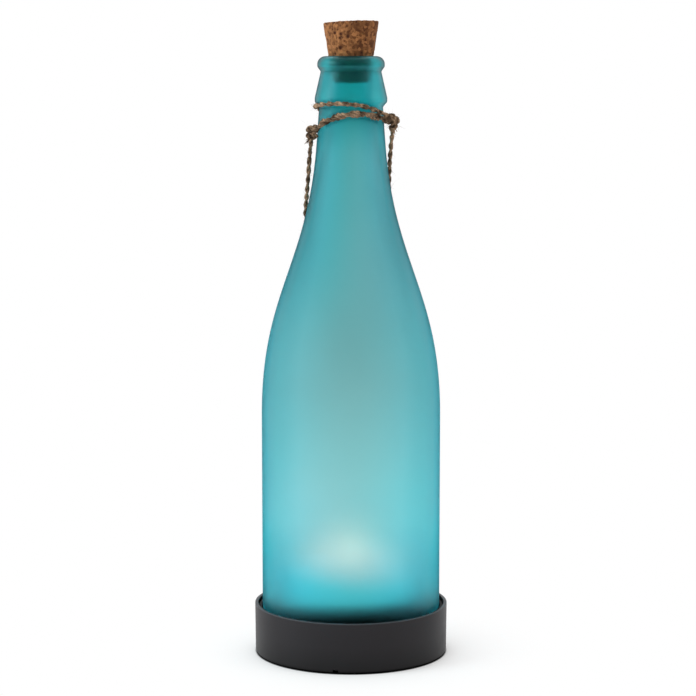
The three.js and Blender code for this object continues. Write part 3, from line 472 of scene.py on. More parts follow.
def make_piece(name, skins, material, slot, body, replaced=(), crease=50, **notes):
    """One mesh object of the skins, at the origin, with its finish, its body and what it stands for. Notes
    are values at its points that the finish reads."""
    starts = np.cumsum([0] + [len(part.points) for part in skins]).tolist()
    faces = [[corner + start for corner in face]
             for part, start in zip(skins, starts) for face in part.faces]
    mesh = bpy.data.meshes.new(name)
    mesh.from_pydata(np.vstack([part.points for part in skins]).tolist(), [], faces)
    laid = np.vstack([part.laid for part in skins])
    mesh.attributes.new("laid", "FLOAT_VECTOR", "POINT").data.foreach_set("vector", laid.ravel())
    for key, values in notes.items():
        mesh.attributes.new(key, "FLOAT", "POINT").data.foreach_set("value", values)
    mesh.polygons.foreach_set("use_smooth", np.ones(len(mesh.polygons), bool))
    mesh.set_sharp_from_angle(angle=radians(crease))
    mesh.materials.append(material)
    piece = shown(name, mesh)
    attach(piece, body)
    if replaced:
        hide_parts(*replaced)
    return piece


def dress(node, material, ease=0.0):
    """Gives a frame node its finish, and a small bevel on its edges where ease is set."""
    piece = NODES[node]
    piece.data.materials.clear()
    piece.data.materials.append(material)
    if ease:
        weld = piece.modifiers.new("weld", "WELD")
        weld.merge_threshold = 0.001 * MM
        bevel = piece.modifiers.new("ease", "BEVEL")
        bevel.width, bevel.segments, bevel.limit_method = ease, 2, "ANGLE"
        bevel.angle_limit = radians(40)


def middle_of(node):
    """Middle of a node's box, and half its width."""
    low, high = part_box(node)
    return (low + high) / 2, (high.x - low.x) / 2


# Shader nodes
class Field:
    """What a shader node puts out. Sums and products of fields add their nodes to the tree."""

    def __init__(self, nodes, socket):
        self.nodes = nodes
        self.socket = socket

    def math(self, operation, other=0.0):
        """Result of a sum on this field and another, or on it and a number."""
        return self.nodes.add("Math", 0, {0: self, 1: other}, operation=operation)

    def __add__(self, other):
        return self.math("ADD", other)

    def __sub__(self, other):
        return self.math("SUBTRACT", other)

    def __mul__(self, other):
        return self.math("MULTIPLY", other)

    def __abs__(self):
        return self.math("ABSOLUTE")

    def span(self, low, high, to_low=0.0, to_high=1.0, kind="SMOOTHSTEP"):
        """Field carried from one range to another, held at the ends."""
        return self.nodes.add("MapRange", "Result", {
            "Value": self, "From Min": low, "From Max": high, "To Min": to_low, "To Max": to_high,
        }, interpolation_type=kind)


class Nodes:
    """Node tree in the making. Its words add nodes to it and give fields."""

    def __init__(self, tree):
        self.tree = tree

    def feed(self, socket, value):
        """Links a field to an input, or sets the input to a number, a vector or a colour."""
        if isinstance(value, Field):
            self.tree.links.new(value.socket, socket)
        else:
            socket.default_value = (*value, 1.0) if socket.type == "RGBA" else value

    def add(self, kind, output, inputs=None, **settings):
        """New node with its settings and inputs, and the field of one of its outputs."""
        node = self.tree.nodes.new("ShaderNode" + kind)
        for key, value in settings.items():
            setattr(node, key, value)
        for key, value in (inputs or {}).items():
            self.feed(node.inputs[key], value)
        return Field(self, node.outputs[output])

    def place(self):
        """Object coordinates."""
        return self.add("TexCoord", "Object")

    def axes(self):
        """X, Y and Z of the Object coordinates."""
        split = self.add("SeparateXYZ", "X", {0: self.place()}).socket.node
        return [Field(self, socket) for socket in split.outputs]

    def off_axis(self, x, y):
        """Distance of (x, y) from the Z axis."""
        flat = self.add("CombineXYZ", 0, {0: x, 1: y})
        return self.add("VectorMath", "Value", {0: flat}, operation="LENGTH")

    def stretched(self, vector, scale):
        """Coordinates scaled along each axis."""
        return self.add("Mapping", "Vector", {"Vector": vector, "Scale": scale})

    def noise(self, vector, scale, detail=3.0, roughness=0.55):
        """Noise from 0 to 1."""
        return self.add("TexNoise", "Fac", {
            "Vector": vector, "Scale": scale, "Detail": detail, "Roughness": roughness})

    def grains(self, vector, scale, channel):
        """Cells, each with a random value: one channel of their random colours."""
        cells = self.add("TexVoronoi", "Color", {"Vector": vector, "Scale": scale})
        return self.add("SeparateColor", channel, {0: cells})

    def attribute(self, name, output):
        """Attribute of the mesh."""
        return self.add("Attribute", output, attribute_name=name)

    def facing(self):
        """0 where the surface is seen square on, 1 where it is seen along."""
        return self.add("LayerWeight", "Facing", {"Blend": 0.5})

    def seen(self):
        """1 for rays from the camera, and for those that gloss and glass send on."""
        camera, glass, gloss = (
            self.add("LightPath", f"Is {kind} Ray") for kind in ("Camera", "Transmission", "Glossy"))
        return camera.math("MAXIMUM", glass).math("MAXIMUM", gloss)

    def mix(self, share, first, second, mode="MIX"):
        """Colour between two colours."""
        return self.add("Mix", 2, {0: share, 6: first, 7: second}, data_type="RGBA", blend_type=mode)

    def grey(self, level):
        """Grey of a level."""
        return self.add("CombineColor", 0, {0: level, 1: level, 2: level})

    def ramp(self, share, stops):
        """Colour that runs through stops, each a place from 0 to 1 and its colour."""
        field = self.add("ValToRGB", "Color", {0: share})
        elements = field.socket.node.color_ramp.elements
        while len(elements) < len(stops):
            elements.new(1.0)
        for element, (at, rgb) in zip(elements, stops):
            element.position, element.color = at, (*rgb, 1.0)
        return field

    def bump(self, height, strength, depth):
        """Normal that a height field gives."""
        return self.add("Bump", "Normal", {"Height": height, "Strength": strength, "Distance": depth})


def grain_group():
    """Moulded grain: a fine even texture, slow changes of tone, and a roughness that follows both."""
    name = "Moulded grain"
    if name in bpy.data.node_groups:
        return bpy.data.node_groups[name]
    tree = bpy.data.node_groups.new(name, "ShaderNodeTree")
    for way, sockets in (
            ("INPUT", {"Colour": "Color", "Grain": "Float", "Roughness": "Float", "Spread": "Float"}),
            ("OUTPUT", {"Colour": "Color", "Roughness": "Float", "Height": "Float"})):
        for label, kind in sockets.items():
            tree.interface.new_socket(label, in_out=way, socket_type="NodeSocket" + kind)
    nodes = Nodes(tree)
    given = {socket.name: Field(nodes, socket) for socket in tree.nodes.new("NodeGroupInput").outputs}
    where = nodes.place()
    fine = nodes.noise(where, given["Grain"], 2.0)
    tone = fine * 0.4 + nodes.noise(where, 60.0, 4.0) * 0.6 - 0.5
    level = nodes.grey(given["Spread"] * tone + 1.0)
    result = tree.nodes.new("NodeGroupOutput").inputs
    nodes.feed(result["Colour"], nodes.mix(1.0, given["Colour"], level, "MULTIPLY"))
    nodes.feed(result["Roughness"], given["Roughness"] + tone * 0.3)
    nodes.feed(result["Height"], fine)
    return tree


class Finish(Nodes):
    """Material in the making, with its main shader."""

    def __init__(self, name):
        self.material = bpy.data.materials.new(name)
        self.material.use_nodes = True
        super().__init__(self.material.node_tree)
        self.shader = self.tree.nodes["Principled BSDF"]

    def coat(self, **inputs):
        """Feeds the shader's own inputs, named with underscores for blanks, and gives the material."""
        for key, value in inputs.items():
            self.feed(self.shader.inputs[key.replace("_", " ")], value)
        return self.material

    def grain(self, rgb, scale=2600.0, roughness=0.5, spread=0.5, depth=0.02 * MM):
        """Moulded grain with its own values: feeds the roughness and the bump, and gives the colour."""
        tinted = self.add("Group", "Colour", {
            "Colour": rgb, "Grain": scale, "Roughness": roughness, "Spread": spread,
        }, node_tree=grain_group())
        outputs = tinted.socket.node.outputs
        rough, height = (Field(self, outputs[key]) for key in ("Roughness", "Height"))
        self.coat(Roughness=rough, Normal=self.bump(height, 0.6, depth))
        return tinted


def kept(name):
    """Marks the maker of a named material, which is made once and found again afterwards."""
    def wrapped(make):
        return lambda *given: bpy.data.materials.get(name) or make(Finish(name), *given)
    return wrapped


def moulded(name, **constants):
    """Plain moulded finish from the table, with constants on the shader's own sockets."""
    @kept(name)
    def make(finish):
        return finish.coat(Base_Color=finish.grain(*MOULDED[name]), **constants)
    return make()


def above(millimetres):
    """Height above the bottle's foot."""
    return FOOT_Z + millimetres * MM


def below(millimetres):
    """Height below the lip's top."""
    return LIP_Z - millimetres * MM


def glass_tint(finish, colours, x, z, along):
    """Tint that follows the wall's thickness: deeper up the neck and in the collar, and richer where it is
    seen along the wall. Over it lie painted shade in the cup, painted light beside the LED that leans to
    the left, painted warm light on the neck's right and cool light on its left, painted shade on the lip's
    outline, and the winding's painted shadow under the twine."""
    # Levels: painted shade in the cup, painted light beside and above the LED, then the tints of the body,
    # the neck and the collar.
    levels = ((5.7, colours.glass_foot_painted_shade), (14, colours.glass_low_painted_light), (30, colours.glass_low_painted_light),
              (50, colours.glass_glow), (108, colours.glass_body), (209, colours.glass_neck),
              (235, colours.glass_finish))
    height = (z + along * 0.01).span(FOOT_Z, LIP_Z, kind="LINEAR")
    tint = finish.ramp(height, [(level * MM / (LIP_Z - FOOT_Z), rgb) for level, rgb in levels])
    thin = finish.ramp(along, [
        (0.0, (0.92, 0.88, 0.87)), (0.2, (0.92, 0.98, 1)), (0.45, (0.52, 0.96, 1)),
        (0.68, (0.12, 0.76, 0.88)), (1.0, (0.03, 0.4, 0.5))])
    thick = finish.ramp(along, [
        (0.0, (0.92, 0.9, 0.89)), (0.2, (0.75, 0.96, 1)), (0.45, (0.15, 0.66, 0.74)),
        (0.75, (0.02, 0.28, 0.34)), (1.0, (0.005, 0.1, 0.13))])
    # The first tone follows the wall's thickness; the second is painted light from the LED, brighter cyan
    # at the low edges of the glass.
    tints_and_painted_light = [
        (1.0, finish.mix(z.span(above(110), below(50)), thin, thick)),
        (z.span(above(55), above(30)) * along.span(0.4, 0.7), (0.2, 1.12, 1.06))]
    # Painted light: shifts of red from left to right, the LED's halo leaning to the left and warm light on
    # the neck's right.
    for band, reach, left, right in (
            (z.span(above(35), above(45)) * z.span(above(80), above(60)), 30 * MM, 1.09, 0.94),
            (z.span(above(120), below(80)) * z.span(below(20), below(30)), 15 * MM, 0.86, 1.2)):
        red = x.span(-reach, reach, left, right)
        tints_and_painted_light.append((band, finish.add("CombineColor", 0, {0: red, 1: 1.0, 2: 1.0})))
    # Painted shade along the lip's outline, and the winding's painted shadow under the twine.
    tints_and_painted_light += [
        (z.span(below(9), below(6)) * along.span(0.1, 0.7), (0.6, 0.46, 0.43)),
        (finish.attribute("shade", "Fac"), (0.22, 0.4, 0.44))]
    for share, tone in tints_and_painted_light:
        tint = finish.mix(share, tint, tone, "MULTIPLY")
    return tint


def glass_glow(finish, colours, x, y, z, along):
    """Painted light in the glass: the hollow foot glows round the LED, a little to the left, and carries
    light down. A painted glow lies over the cork in the collar, and a painted highlight in the groove under
    the lip."""
    inside = finish.off_axis(x, y).span(34.5 * MM, 32.5 * MM)
    over_foot = (z - x * 0.08).span(above(3.5), above(12.5))
    under_top = z.span(LIGHT_Z + 13.5 * MM, LIGHT_Z + 12.5 * MM)
    lit = inside * over_foot * under_top * along.span(0.1, 0.9, 1.0, 0.35)
    beside = finish.off_axis(x + 6 * MM, y) - 17 * MM
    near = (z + x * 0.14 - beside * 0.22).span(LIGHT_Z - 16.5 * MM, LIGHT_Z + 1.5 * MM)
    shine = finish.mix(near * x.span(-2 * MM, 25 * MM, 1.0, 0.55), colours.glow_low, colours.glow)
    # Painted highlight in the groove under the lip.
    groove = abs(z - below(4.7)).span(0.9 * MM, 0.2 * MM) * along.span(0.25, 0.75, 1.0, 0.0)
    # Painted glow over the cork inside the collar.
    haze = finish.mix(z.span(below(14), below(11.5)), (0, 0, 0), colours.collar_painted_glow)
    return finish.mix(lit, finish.mix(groove, haze, colours.groove), shine)


@kept("frosted teal glass")
def glass_material(finish, colours):
    """Frosted teal glass, clearer at the lip and hazier where it is seen along the wall."""
    where = finish.place()
    x, y, z = finish.axes()
    along = finish.facing()
    cloud = finish.noise(where, 45.0, 4.0).span(0.3, 0.7, 0.5, 0.56)
    clear = z.span(below(30), below(18), 0.0, 0.2)
    return finish.coat(
        Base_Color=glass_tint(finish, colours, x, z, along),
        Roughness=cloud - clear + along.span(0.6, 0.95, 0.0, 0.4),
        Normal=finish.bump(finish.noise(where, 5200.0, 2.0), 0.25, 0.02 * MM),
        Emission_Color=glass_glow(finish, colours, x, y, z, along), Emission_Strength=0.72,
        Specular_IOR_Level=0.03, Specular_Tint=(0.15, 0.42, 0.46), Transmission_Weight=1.0, IOR=1.45)


@kept("raw cork")
def cork_material(finish, colours):
    """Agglomerated cork: pale and brown grains, with painted shade at the right and painted light at the
    left, and dark pores, with painted shade of their depth, where the surface is pitted."""
    where = finish.place()
    slow = finish.noise(where, 260.0, 6.0, 0.7)
    fine = finish.noise(where, 2400.0, 4.0)
    # Painted light and shade: the cork lighter at the left and darker at the right.
    side = finish.axes()[0].span(11 * MM, -11 * MM, -0.1, 0.04)
    tone = finish.grains(where, 760.0, 0) * 0.35 + slow * 0.85 + side
    body = finish.mix(tone.span(0.3, 0.88), colours.cork_dark, colours.cork_light)
    body = finish.mix(fine.span(0.5, 0.75, 0.0, 0.45), body, colours.cork_dark)
    return finish.coat(
        # Pits: the dark cork in the pores, with painted shade of their depth.
        Base_Color=finish.mix(finish.attribute("pit", "Fac"), body, colours.cork_pit),
        Roughness=slow.span(0.3, 0.7, 0.78, 0.95), Normal=finish.bump(fine, 0.5, 0.12 * MM),
        Specular_IOR_Level=0.25)


@kept("jute fibres")
def jute_material(finish, colours):
    """Jute: fibres that run along each ply, pale and brown, with darker tufts along the twine, and painted
    shade that darkens it lower down.
    """
    fibres = finish.stretched(finish.attribute("laid", "Vector"), (9000, 9000, 420))
    streaks = finish.noise(fibres, 1.0, 4.0, 0.6)
    tone = streaks * 0.6 + finish.noise(finish.place(), 300.0, 4.0) * 0.65
    # Painted shade: the twine darker from about the knots downwards.
    shaded = finish.axes()[2].span(below(50), below(30), 0.72, 1.0)
    return finish.coat(
        Base_Color=finish.mix(tone.span(0.5, 0.78) * shaded, colours.jute_dark, colours.jute_light),
        Roughness=streaks.span(0.3, 0.7, 0.98, 0.82), Normal=finish.bump(streaks, 0.8, 0.15 * MM),
        Specular_IOR_Level=0.2)


@kept("nickel-plated steel")
def steel_material(finish):
    """Nickel-plated steel with fine drawn lines."""
    lines = finish.noise(finish.stretched(finish.place(), (3000, 400, 400)), 1.0)
    return finish.coat(
        Base_Color=finish.mix(lines, (0.5, 0.5, 0.51), (0.72, 0.72, 0.7)),
        Roughness=lines.span(0.3, 0.7, 0.24, 0.42), Metallic=1.0)


@kept("black rubber")
def rubber_material(finish, colours):
    """Matt rubber of the seat ring, the seal and the feet."""
    return finish.coat(Base_Color=finish.grain(
        colours.rubber, scale=1500, roughness=0.82, spread=0.6, depth=0.03 * MM))


@kept("charcoal plastic in painted shade")
def cover_material(finish, colours):
    """Charcoal plastic of the cover and the battery door, darkened with painted shade."""
    return finish.coat(Base_Color=finish.grain(colours.cover))


@kept("solar cells in resin")
def panel_material(finish, colours):
    """Solar cells under clear resin: dark blue, with silver fingers as rings and one wider bus."""
    where = finish.place()
    radius = finish.off_axis(*finish.axes()[:2])
    fingers = radius.math("PINGPONG", 0.7 * MM).span(0.07 * MM, 0.03 * MM)
    bus = abs(radius - 18.2 * MM).span(0.55 * MM, 0.45 * MM)
    blue = finish.mix(finish.grains(where, 260.0, 1) * 0.6, colours.cell, (0.02, 0.045, 0.13))
    return finish.coat(
        Base_Color=finish.mix(fingers.math("MAXIMUM", bus), blue, (0.45, 0.46, 0.48)),
        Roughness=finish.noise(where, 120.0).span(0.3, 0.7, 0.2, 0.3), Coat_Weight=0.6)


@kept("charcoal cup plastic")
def cup_material(finish, colours):
    """Charcoal plastic of the cup: the moulded grain, with painted shade towards its lower edge and a
    painted highlight on the rim's top.
    """
    height = finish.axes()[2]
    # Painted shade: the cup darkens towards its lower edge.
    levels = ((0.0, 0.02), (0.06, 0.35), (0.5, 0.85), (1.0, 1.0))
    share = height.span(SKIRT_Z, RIM_Z, kind="LINEAR")
    tone = finish.ramp(share, [(at, (grey,) * 3) for at, grey in levels])
    grained = finish.grain(colours.charcoal, scale=2400, roughness=0.46, spread=0.35)
    body = finish.mix(1.0, grained, tone, "MULTIPLY")
    # Painted highlight along the rim's top.
    rim = height.span(RIM_Z - 0.45 * MM, RIM_Z - 0.15 * MM)
    return finish.coat(Base_Color=finish.mix(rim, body, colours.rim), Specular_IOR_Level=0.2)


def lens_material(name, colours, strength, roughness):
    """Clear plastic that glows, with painted light brighter towards its top, a painted warm glow along its
    outline, and a faint haze.
    """
    finish = Finish(name)
    # Painted light: brighter towards the top.
    high = finish.axes()[2].span(LIGHT_Z - 6 * MM, LIGHT_Z + 3 * MM)
    haze = finish.noise(finish.place(), 900.0, 2.0)
    # Painted warm glow along the outline, in the colour and in the glow.
    outline = finish.facing().span(0.15, 0.6)
    clear = finish.mix(haze, (0.93, 0.95, 0.93), (0.99, 1.0, 0.98))
    shine = finish.mix(high, (0.25, 0.28, 0.27), colours.glow)
    return finish.coat(
        Base_Color=finish.mix(outline, clear, (0.62, 0.45, 0.33)),
        Roughness=haze.span(0.3, 0.7, roughness, roughness + 0.08),
        Emission_Color=finish.mix(outline, shine, colours.glow_edge), Emission_Strength=strength,
        Transmission_Weight=0.6)


# Outline of the glass, and the places on it
def neck_slope(b):
    """How much the neck narrows for each step up."""
    return (b.neck_root_radius - b.neck_top_radius) / (b.neck_root_drop - b.collar_drop - b.collar_flare)


def bottle_outside(b):
    """Outer outline from the foot ring's outer edge up to the lip's top."""
    root = (b.neck_root_radius, LIP_Z - b.neck_root_drop)
    shoulder, collar = FOOT_Z + b.shoulder_start, LIP_Z - b.collar_drop
    lip_top, lip_rise = b.bore_radius + b.mouth_round + b.lip_flat, b.lip_drop - b.lip_face
    return np.vstack([
        arc((BODY_RADIUS - b.heel_radius, FOOT_Z + b.heel_radius), (b.heel_radius,) * 2, -pi / 2, 0),
        bezier((BODY_RADIUS, shoulder), (BODY_RADIUS, shoulder + b.shoulder_handle),
               (root[0] + neck_slope(b) * b.neck_handle, root[1] - b.neck_handle), root),
        [[b.neck_top_radius, collar - b.collar_flare], [b.collar_radius, collar],
         [b.collar_radius, collar + b.collar_face], [b.groove_radius, LIP_Z - b.groove_drop],
         [b.lip_radius, LIP_Z - b.lip_drop]],
        arc((lip_top, LIP_Z - lip_rise), (b.lip_radius - lip_top, lip_rise), 0, pi / 2),
    ])


def bottle_inside(b):
    """Inner outline from the mouth down to the trough beside the hollow foot."""
    inner = BODY_RADIUS - b.glass_wall
    root, shoulder, trough = LIP_Z - b.neck_root_drop, FOOT_Z + b.shoulder_start, FOOT_Z + b.glass_wall
    handle = b.neck_root_radius + neck_slope(b) * b.neck_handle - b.glass_wall
    return np.vstack([
        arc((b.bore_radius + b.mouth_round, LIP_Z - b.mouth_round), (b.mouth_round,) * 2, pi / 2, pi, 8),
        bezier((b.bore_radius, root), (handle, root - b.neck_handle),
               (inner, shoulder + b.shoulder_handle), (inner, shoulder)),
        arc((inner - b.inner_heel, trough + b.inner_heel), (b.inner_heel,) * 2, 0, -pi / 2, 8),
    ])


def glass_radius(b, z):
    """Outer radius of the glass at heights z."""
    outside = softened(bottle_outside(b), b.melt)
    return np.interp(z, outside[:, 1], outside[:, 0])


def lying_reach(b, z, radius):
    """Least distance from the axis at which a cord of some radius clears the glass at heights z."""
    tilt = np.linspace(-pi / 2, pi / 2, 13)[:, None]
    return (glass_radius(b, z + radius * np.sin(tilt)) + radius * np.cos(tilt)).max(0)


def knot_places(b, t):
    """Centres of the left knot and of the right knot's lower and upper turns."""
    left, lower = (
        np.array([side * np.sqrt((glass_radius(b, LIP_Z - drop) + off) ** 2 - t.knot_forward ** 2),
                  -t.knot_forward, LIP_Z - drop])
        for side, drop, off in (
            (-1, t.left_knot_drop, t.left_knot_off), (1, t.right_knot_drop, t.right_knot_off)))
    return left, lower, lower + [0, 0, t.right_knot_rise]


def winding_rise(b, t):
    """Height of the winding by its turn, counted in quarters from the left knot across the front."""
    left, _, upper = knot_places(b, t)
    drops = (t.lower_front_drop, t.lower_right_drop, t.back_drop, t.upper_left_drop, t.upper_front_drop)
    heights = [left[2], *(LIP_Z - drop for drop in drops), upper[2]]
    return spline(np.column_stack([np.arange(len(heights)), heights]), 0.01)


def winding_runs(t):
    """First and last quarter of the doubled run and of the single run, and their radii."""
    return (0.45, 1.6, t.doubled_radius), (1.75, 5.6, t.radius)


def tied(centre, reach, tilt, radius, pitch, rng):
    """Fold of a knot: plied twine along a closed bend, centre + a cos u e + b sin u f + c sin 2u g, with e
    and f turned about the line of sight by tilt, g towards the viewer, and c a third of a."""
    u = np.linspace(0, tau, 200)[:, None]
    first, second = np.array([np.cos(tilt), 0, np.sin(tilt)]), np.array([-np.sin(tilt), 0, np.cos(tilt)])
    a, b = reach
    path = centre + a * np.cos(u) * first + b * np.sin(u) * second - a / 3 * np.sin(2 * u) * BACK
    path = evenly(path, step=0.3 * MM)
    return plied(path, radius, pitch, path - centre + [0, 0.1 * MM, 0], rng)


def frayed(centre, way, t, rng, strands=7):
    """Frayed end: thin tapering strands that leave a knot together and spread, sagging a little."""
    share = np.linspace(0, 1, 14)[:, None]
    skins = []
    for _ in range(strands):
        spread = unit(np.array(way) + 0.1 * rng.normal(size=3))
        long = t.tail_length * rng.uniform(0.7, 1.0)
        bend = 0.22 * rng.normal(size=3) - [0, 0, 0.12]
        path = centre + long * (share * spread + share * share * bend)
        skins.append(tube(path, t.strand_radius * (1.05 - 0.75 * share[:, 0]), (0.3, 1, 0.2), 6))
    return skins


class LAMP_OT_stage(bpy.types.Operator):
    """Camera at the photograph's place, soft studio light, and a pale floor that keeps the shadow"""
    bl_idname = "lamp.stage"
    bl_label = "Stage"

    def execute(self, context):
        """Makes the camera, the lamps, the world and the floor."""
        scene = context.scene
        scene.view_settings.view_transform = "Standard"
        frame_pixels, focal_pixels, sensor, tilt_down = 696, 2200, 36.0, 7.2
        scene.camera = shown("camera", bpy.data.cameras.new("camera"))
        scene.camera.data.sensor_width = sensor
        scene.camera.data.lens = focal_pixels / frame_pixels * sensor
        scene.camera.location = (-0.00133, -0.976, 0.2613)
        scene.camera.rotation_euler = (radians(90 - tilt_down), 0, 0)
        for name, where, tilt, turn, across, power, tint in (
                ("key", (-0.9, -0.3, 0.6), 60, -71, 0.5, 6.0, (0.85, 0.98, 1)),
                ("fill", (0.85, -0.3, 0.5), 63, 71, 0.6, 2.0, (1, 0.95, 0.88)),
                ("low", (-0.9, -0.3, 0.1), 86, -71, 0.4, 1.6, (0.95, 0.98, 1)),
                ("top", (0.0, 0.25, 1.0), -14, 0, 0.7, 4.0, (1, 1, 1))):
            light = bpy.data.lights.new(name, "AREA")
            light.size, light.energy, light.color = across, power, tint
            lamp = shown(name, light)
            lamp.location, lamp.rotation_euler = where, (radians(tilt), 0, radians(turn))
        self.sky(scene)
        self.floor()
        return {"FINISHED"}

    def sky(self, scene):
        """World that lights evenly and shows white to the camera, and in gloss and glass."""
        scene.world = scene.world or bpy.data.worlds.new("studio")
        scene.world.use_nodes = True
        nodes = Nodes(scene.world.node_tree)
        nodes.tree.nodes.clear()
        light = nodes.add("Background", 0, {"Color": (0.97, 0.985, 1), "Strength": 0.55})
        white = nodes.add("Background", 0, {"Color": (1, 1, 1), "Strength": 1.0})
        both = nodes.add("MixShader", 0, {0: nodes.seen(), 1: light, 2: white})
        nodes.feed(nodes.tree.nodes.new("ShaderNodeOutputWorld").inputs["Surface"], both)

    def floor(self):
        """Round pale floor under the lamp, with a painted shadow under the base: rings of radius R t^2,
        closer near the middle."""
        radius = 4.0 * np.linspace(0, 1, 24)[1:, None] ** 2
        disc = skin(polar(radius, around(96), 0 * radius), start=[0, 0, 0])
        mesh = bpy.data.meshes.new("floor")
        mesh.from_pydata(disc.points.tolist(), [], [face[::-1] for face in disc.faces])
        finish = Finish("pale floor")
        away = finish.off_axis(*finish.axes()[:2])
        tone = finish.noise(finish.place(), 3.0).span(0.3, 0.7, 0.93, 0.96)
        # Painted shadow: the floor darkened under the cup's skirt.
        tone = tone * away.span(CUP_RADIUS - 0.6 * MM, CUP_RADIUS + 0.4 * MM, 0.03, 1.0)
        material = finish.coat(Base_Color=finish.grey(tone), Roughness=0.9, Specular_IOR_Level=0.0)
        mesh.materials.append(material)
        white = finish.add("Emission", 0, {"Color": (1, 1, 1), "Strength": 1.0})
        clear = away.span(CUP_RADIUS - 0.5 * MM, 2.2 * CUP_RADIUS).math("POWER", 0.2)
        matt = Field(finish, finish.shader.outputs[0])
        both = finish.add("MixShader", 0, {0: finish.seen() * clear, 1: matt, 2: white})
        finish.feed(finish.tree.nodes["Material Output"].inputs["Surface"], both)
        shown("floor", mesh)


class LAMP_OT_hanger(bpy.types.Operator):
    """Loop of jute twine that hangs from the two knots behind the bottle"""
    bl_idname = "lamp.hanger"
    bl_label = "Hanging loop"

    def execute(self, context):
        t = context.scene.lamp_twine
        jute = jute_material(context.scene.lamp_colours)
        rng = np.random.default_rng(11)
        path = spline(HANGER_ROUTE, step=0.4 * MM)
        loop = make_piece("hanging_loop", plied(path, t.radius, t.pitch, BACK, rng), jute,
                          "jute", "hanger", ["hanger_twine"])
        hairs = make_piece("hanging_loop_fibres", [fuzz(path, t.radius, BACK, t, rng)], jute,
                           "jute", "hanger")
        round(float(lengths(path)[-1]), 4)
        2 * t.radius
        return {"FINISHED"}


class LAMP_OT_winding(bpy.types.Operator):
    """Twine wound round the neck: a doubled run across the front, round the back, and a single run"""
    bl_idname = "lamp.winding"
    bl_label = "Neck winding"

    def execute(self, context):
        """Winds the twine from the left knot to the right one, lying on the glass. Two twines of the
        doubled run turn about each other as plies do."""
        t, b = context.scene.lamp_twine, context.scene.lamp_bottle
        jute = jute_material(context.scene.lamp_colours)
        rng = np.random.default_rng(5)
        step, strands = 0.3 * MM, 2
        left, lower, upper = knot_places(b, t)
        rise = winding_rise(b, t)
        doubled, single = (self.lying(b, rise, *run, t.play) for run in winding_runs(t))
        doubled = spline(np.vstack([left, doubled, lower + [0, 0, 0.5 * t.right_knot_rise]]), step)
        single = spline(np.vstack([single, upper]), step)
        skins = []
        for strand in range(strands):
            out = spiral(doubled, tau * (lengths(doubled) / t.doubled_pitch + strand / strands), UP)
            path = doubled + 0.47 * t.doubled_radius * out
            skins += plied(path, 0.55 * t.doubled_radius, 0.75 * t.pitch, -out, rng)
        skins += plied(single, t.radius, t.pitch, UP, rng)
        make_piece("neck_winding", skins, jute, "jute", "bottle", ["neck_twine"])
        hairs = [fuzz(path, radius, UP, t, rng)
                 for path, radius in ((doubled, t.doubled_radius), (single, t.radius))]
        make_piece("neck_winding_fibres", hairs, jute, "jute", "bottle")
        return {"FINISHED"}

    def lying(self, b, rise, first, last, radius, play):
        """Path on the glass between two turns, counted in quarters from the left across the front:
        (-R cos q, -R sin q, z), with R the reach that clears the glass at height z."""
        turn = np.linspace(first, last, 60)
        z = np.interp(turn, *rise.T)
        return polar(-(lying_reach(b, z, radius) + play), turn * pi / 2, z)


class LAMP_OT_knots(bpy.types.Operator):
    """Knots that tie the loop to the winding, with their frayed ends"""
    bl_idname = "lamp.knots"
    bl_label = "Knots"

    def execute(self, context):
        """Ties the left knot, and the right knot with its two turns."""
        t = context.scene.lamp_twine
        jute = jute_material(context.scene.lamp_colours)
        rng = np.random.default_rng(23)
        left, lower, upper = knot_places(context.scene.lamp_bottle, t)
        a, rise = t.knot_reach, np.array([0, 0, 0.5 * t.right_knot_rise])
        ball_reach, root = 2.2 * MM, 0.4 * MM
        loose = ball_reach * np.array([[-1, 0, 0], [0, -1, 0.3], [1, 0, 0], [0, 0.6, -0.8]])
        for node, way, folds in (
                ("left_knot", (-0.75, -0.3, -0.6),
                 [(left - rise, (a, 0.4 * a), -0.15), (left + rise, (1.1 * a, 0.35 * a), 0.3)]),
                ("right_knot", (0.2, -0.6, -0.75),
                 [(lower, (a, 0.5 * a), 1.2), (upper, (1.2 * a, 0.55 * a), -0.6)])):
            skins = [part for fold in folds for part in tied(*fold, t.radius, t.pitch, rng)]
            skins += frayed(folds[0][0], way, t, rng)
            ball = np.vstack([spline(centre + loose, step=0.2 * MM) for centre, _, _ in folds])
            skins.append(fuzz(ball, root, (0.1, 0.2, 1), t, rng))
            make_piece(f"{node}_tied", skins, jute, "jute", "bottle", [node])
        return {"FINISHED"}


